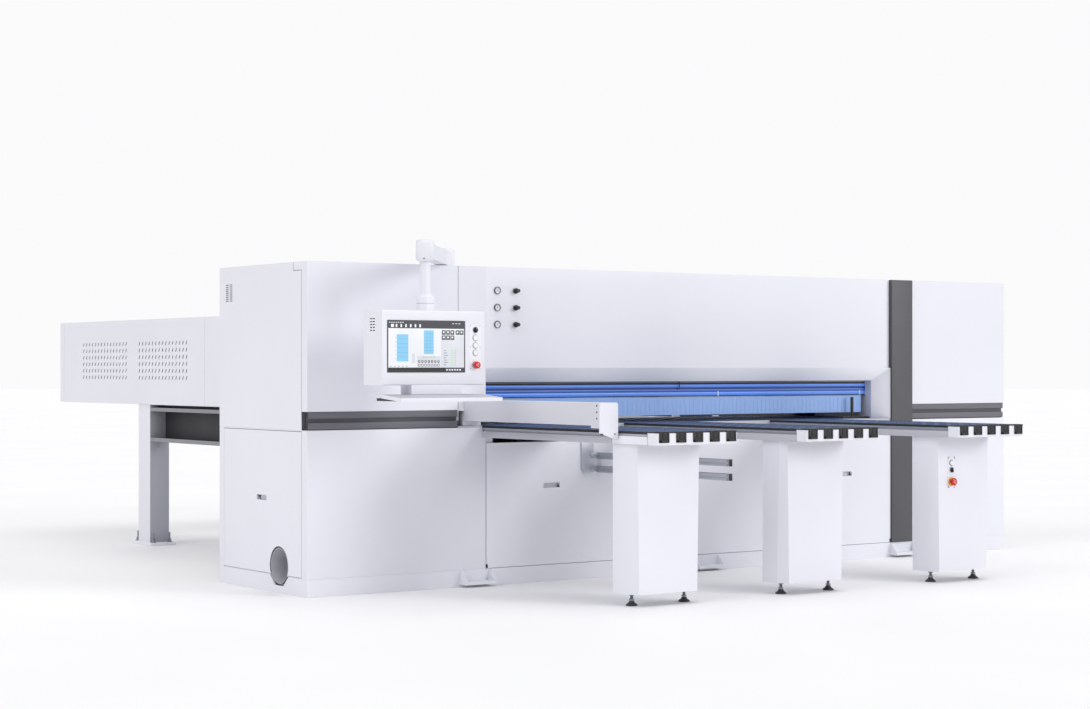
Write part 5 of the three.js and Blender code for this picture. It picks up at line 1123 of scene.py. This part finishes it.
boxes("locating_blocks", [((x - 6, -3.5, 105), (x + 6, 0.4, 126)) for x in (1212, 4528)], black,
      0.001, smooth=30)
bm = bmesh.new()
screw_head(bm, 447, -586, 1901, 1, 4.6, 1.0)
turn_about_arm(bm, -39.2)
piece("arm_head_screw", bm, steel, 30, body="arm")
screws("fence_screws", foot_dark, [(1051, -1321, z) for z in (1091, 1056, 1022)], 0, 5.4, 1.8)
lathes("fence_cover_feet", [[0.0, -6.0], [6.0, -6.0], [7.5, -4.5], [7.5, 3.0], [0.0, 3.0]],
       [(x, -1345, 938) for x in (1066, 1150)], 2, 20, foot_dark)
boxes("accessory_rail_caps", [((2047, -1249.5, z - 20.6), (2066.6, -1243.5, z + 20.6)) for z in (754, 672)],
      black_gloss, 0.0015, smooth=30)
bm = bmesh.new()
add_lathe(bm, [[50.0, -1.2], [52.4, -1.2], [52.4, 1.2], [50.0, 1.2]], (447, -537, 1653), 2, 8, True)
turn_about_arm(bm, 22.5)
piece("collar_seam", bm, grey, 20, body="console")


# Floor, light and camera

def floor():
    """A large pale disk of rings, a little below the machine."""
    sides, middle, height = 48, 2.0, -0.0005
    bm = bmesh.new()
    turns = [2 * math.pi * k / sides for k in range(sides)]
    rings = [[bm.verts.new((0, middle, height))]]
    for radius in (12.0, 40.0, 120.0):
        rings.append([bm.verts.new((radius * math.cos(a), middle + radius * math.sin(a), height))
                      for a in turns])
    add_bands(bm, rings)
    n = Nodes("floor")
    n.feed("Base Color", n.ramp(n.noise(0.6, 2.0), [(0.3, srgb("F8F8F9")), (0.7, srgb("FBFBFB"))]))
    n.feed("Roughness", n.scale(n.noise(5.0, 3.0), 0.55, 0.7))
    n.bump(n.noise(150.0, 2.0), 0.1, 0.0002)
    ob = mesh_object("floor", bm, n)


floor()


def sun_light(name, toward, spread, strength):
    """A broad soft light from a direction, the same over the whole floor."""
    data = bpy.data.lights.new(name, "SUN")
    data.angle = math.radians(spread)
    data.energy = strength
    ob = link(bpy.data.objects.new(name, data))
    ob.rotation_euler = Vector(toward).to_track_quat("Z", "Y").to_euler()


sun_light("key", (0.5, -0.78, 0.32), 24, 0.96)
sun_light("side", (-0.85, -0.12, 0.5), 40, 0.66)
sun_light("top", (0.05, -0.1, 1), 60, 1.06)

# The world lights the part softly. The camera and the reflections see a brighter one.
world = bpy.data.worlds.new("studio")
bpy.context.scene.world = world
world.use_nodes = True
tree = world.node_tree
background = tree.nodes["Background"]
seen = tree.nodes.new("ShaderNodeBackground")
for shader, color, strength in ((background, (0.98, 0.985, 1.0, 1), 0.48), (seen, (0.96, 0.962, 0.97, 1), 1.0)):
    shader.inputs["Color"].default_value = color
    shader.inputs["Strength"].default_value = strength
path = tree.nodes.new("ShaderNodeLightPath")
ray = path.outputs["Is Camera Ray"]
for kind in ("Is Glossy Ray", "Is Transmission Ray"):
    total = tree.nodes.new("ShaderNodeMath")
    total.use_clamp = True
    tree.links.new(ray, total.inputs[0])
    tree.links.new(path.outputs[kind], total.inputs[1])
    ray = total.outputs["Value"]
blend = tree.nodes.new("ShaderNodeMixShader")
tree.links.new(ray, blend.inputs["Fac"])
tree.links.new(background.outputs["Background"], blend.inputs[1])
tree.links.new(seen.outputs["Background"], blend.inputs[2])
tree.links.new(blend.outputs["Shader"], tree.nodes["World Output"].inputs["Surface"])

# The photograph's camera
camera_data = bpy.data.cameras.new("camera")
camera_data.lens = 70.42
camera_data.sensor_width = 36.0
camera_data.shift_y = 0.01249
camera = link(bpy.data.objects.new("camera", camera_data))
camera.location = (-8.6360, -11.1407, 1.2949)
camera.rotation_euler = (math.radians(90), 0, math.radians(-35.111))
camera_data.clip_end = 500
bpy.context.scene.camera = camera
bpy.context.scene.view_settings.view_transform = "Standard"
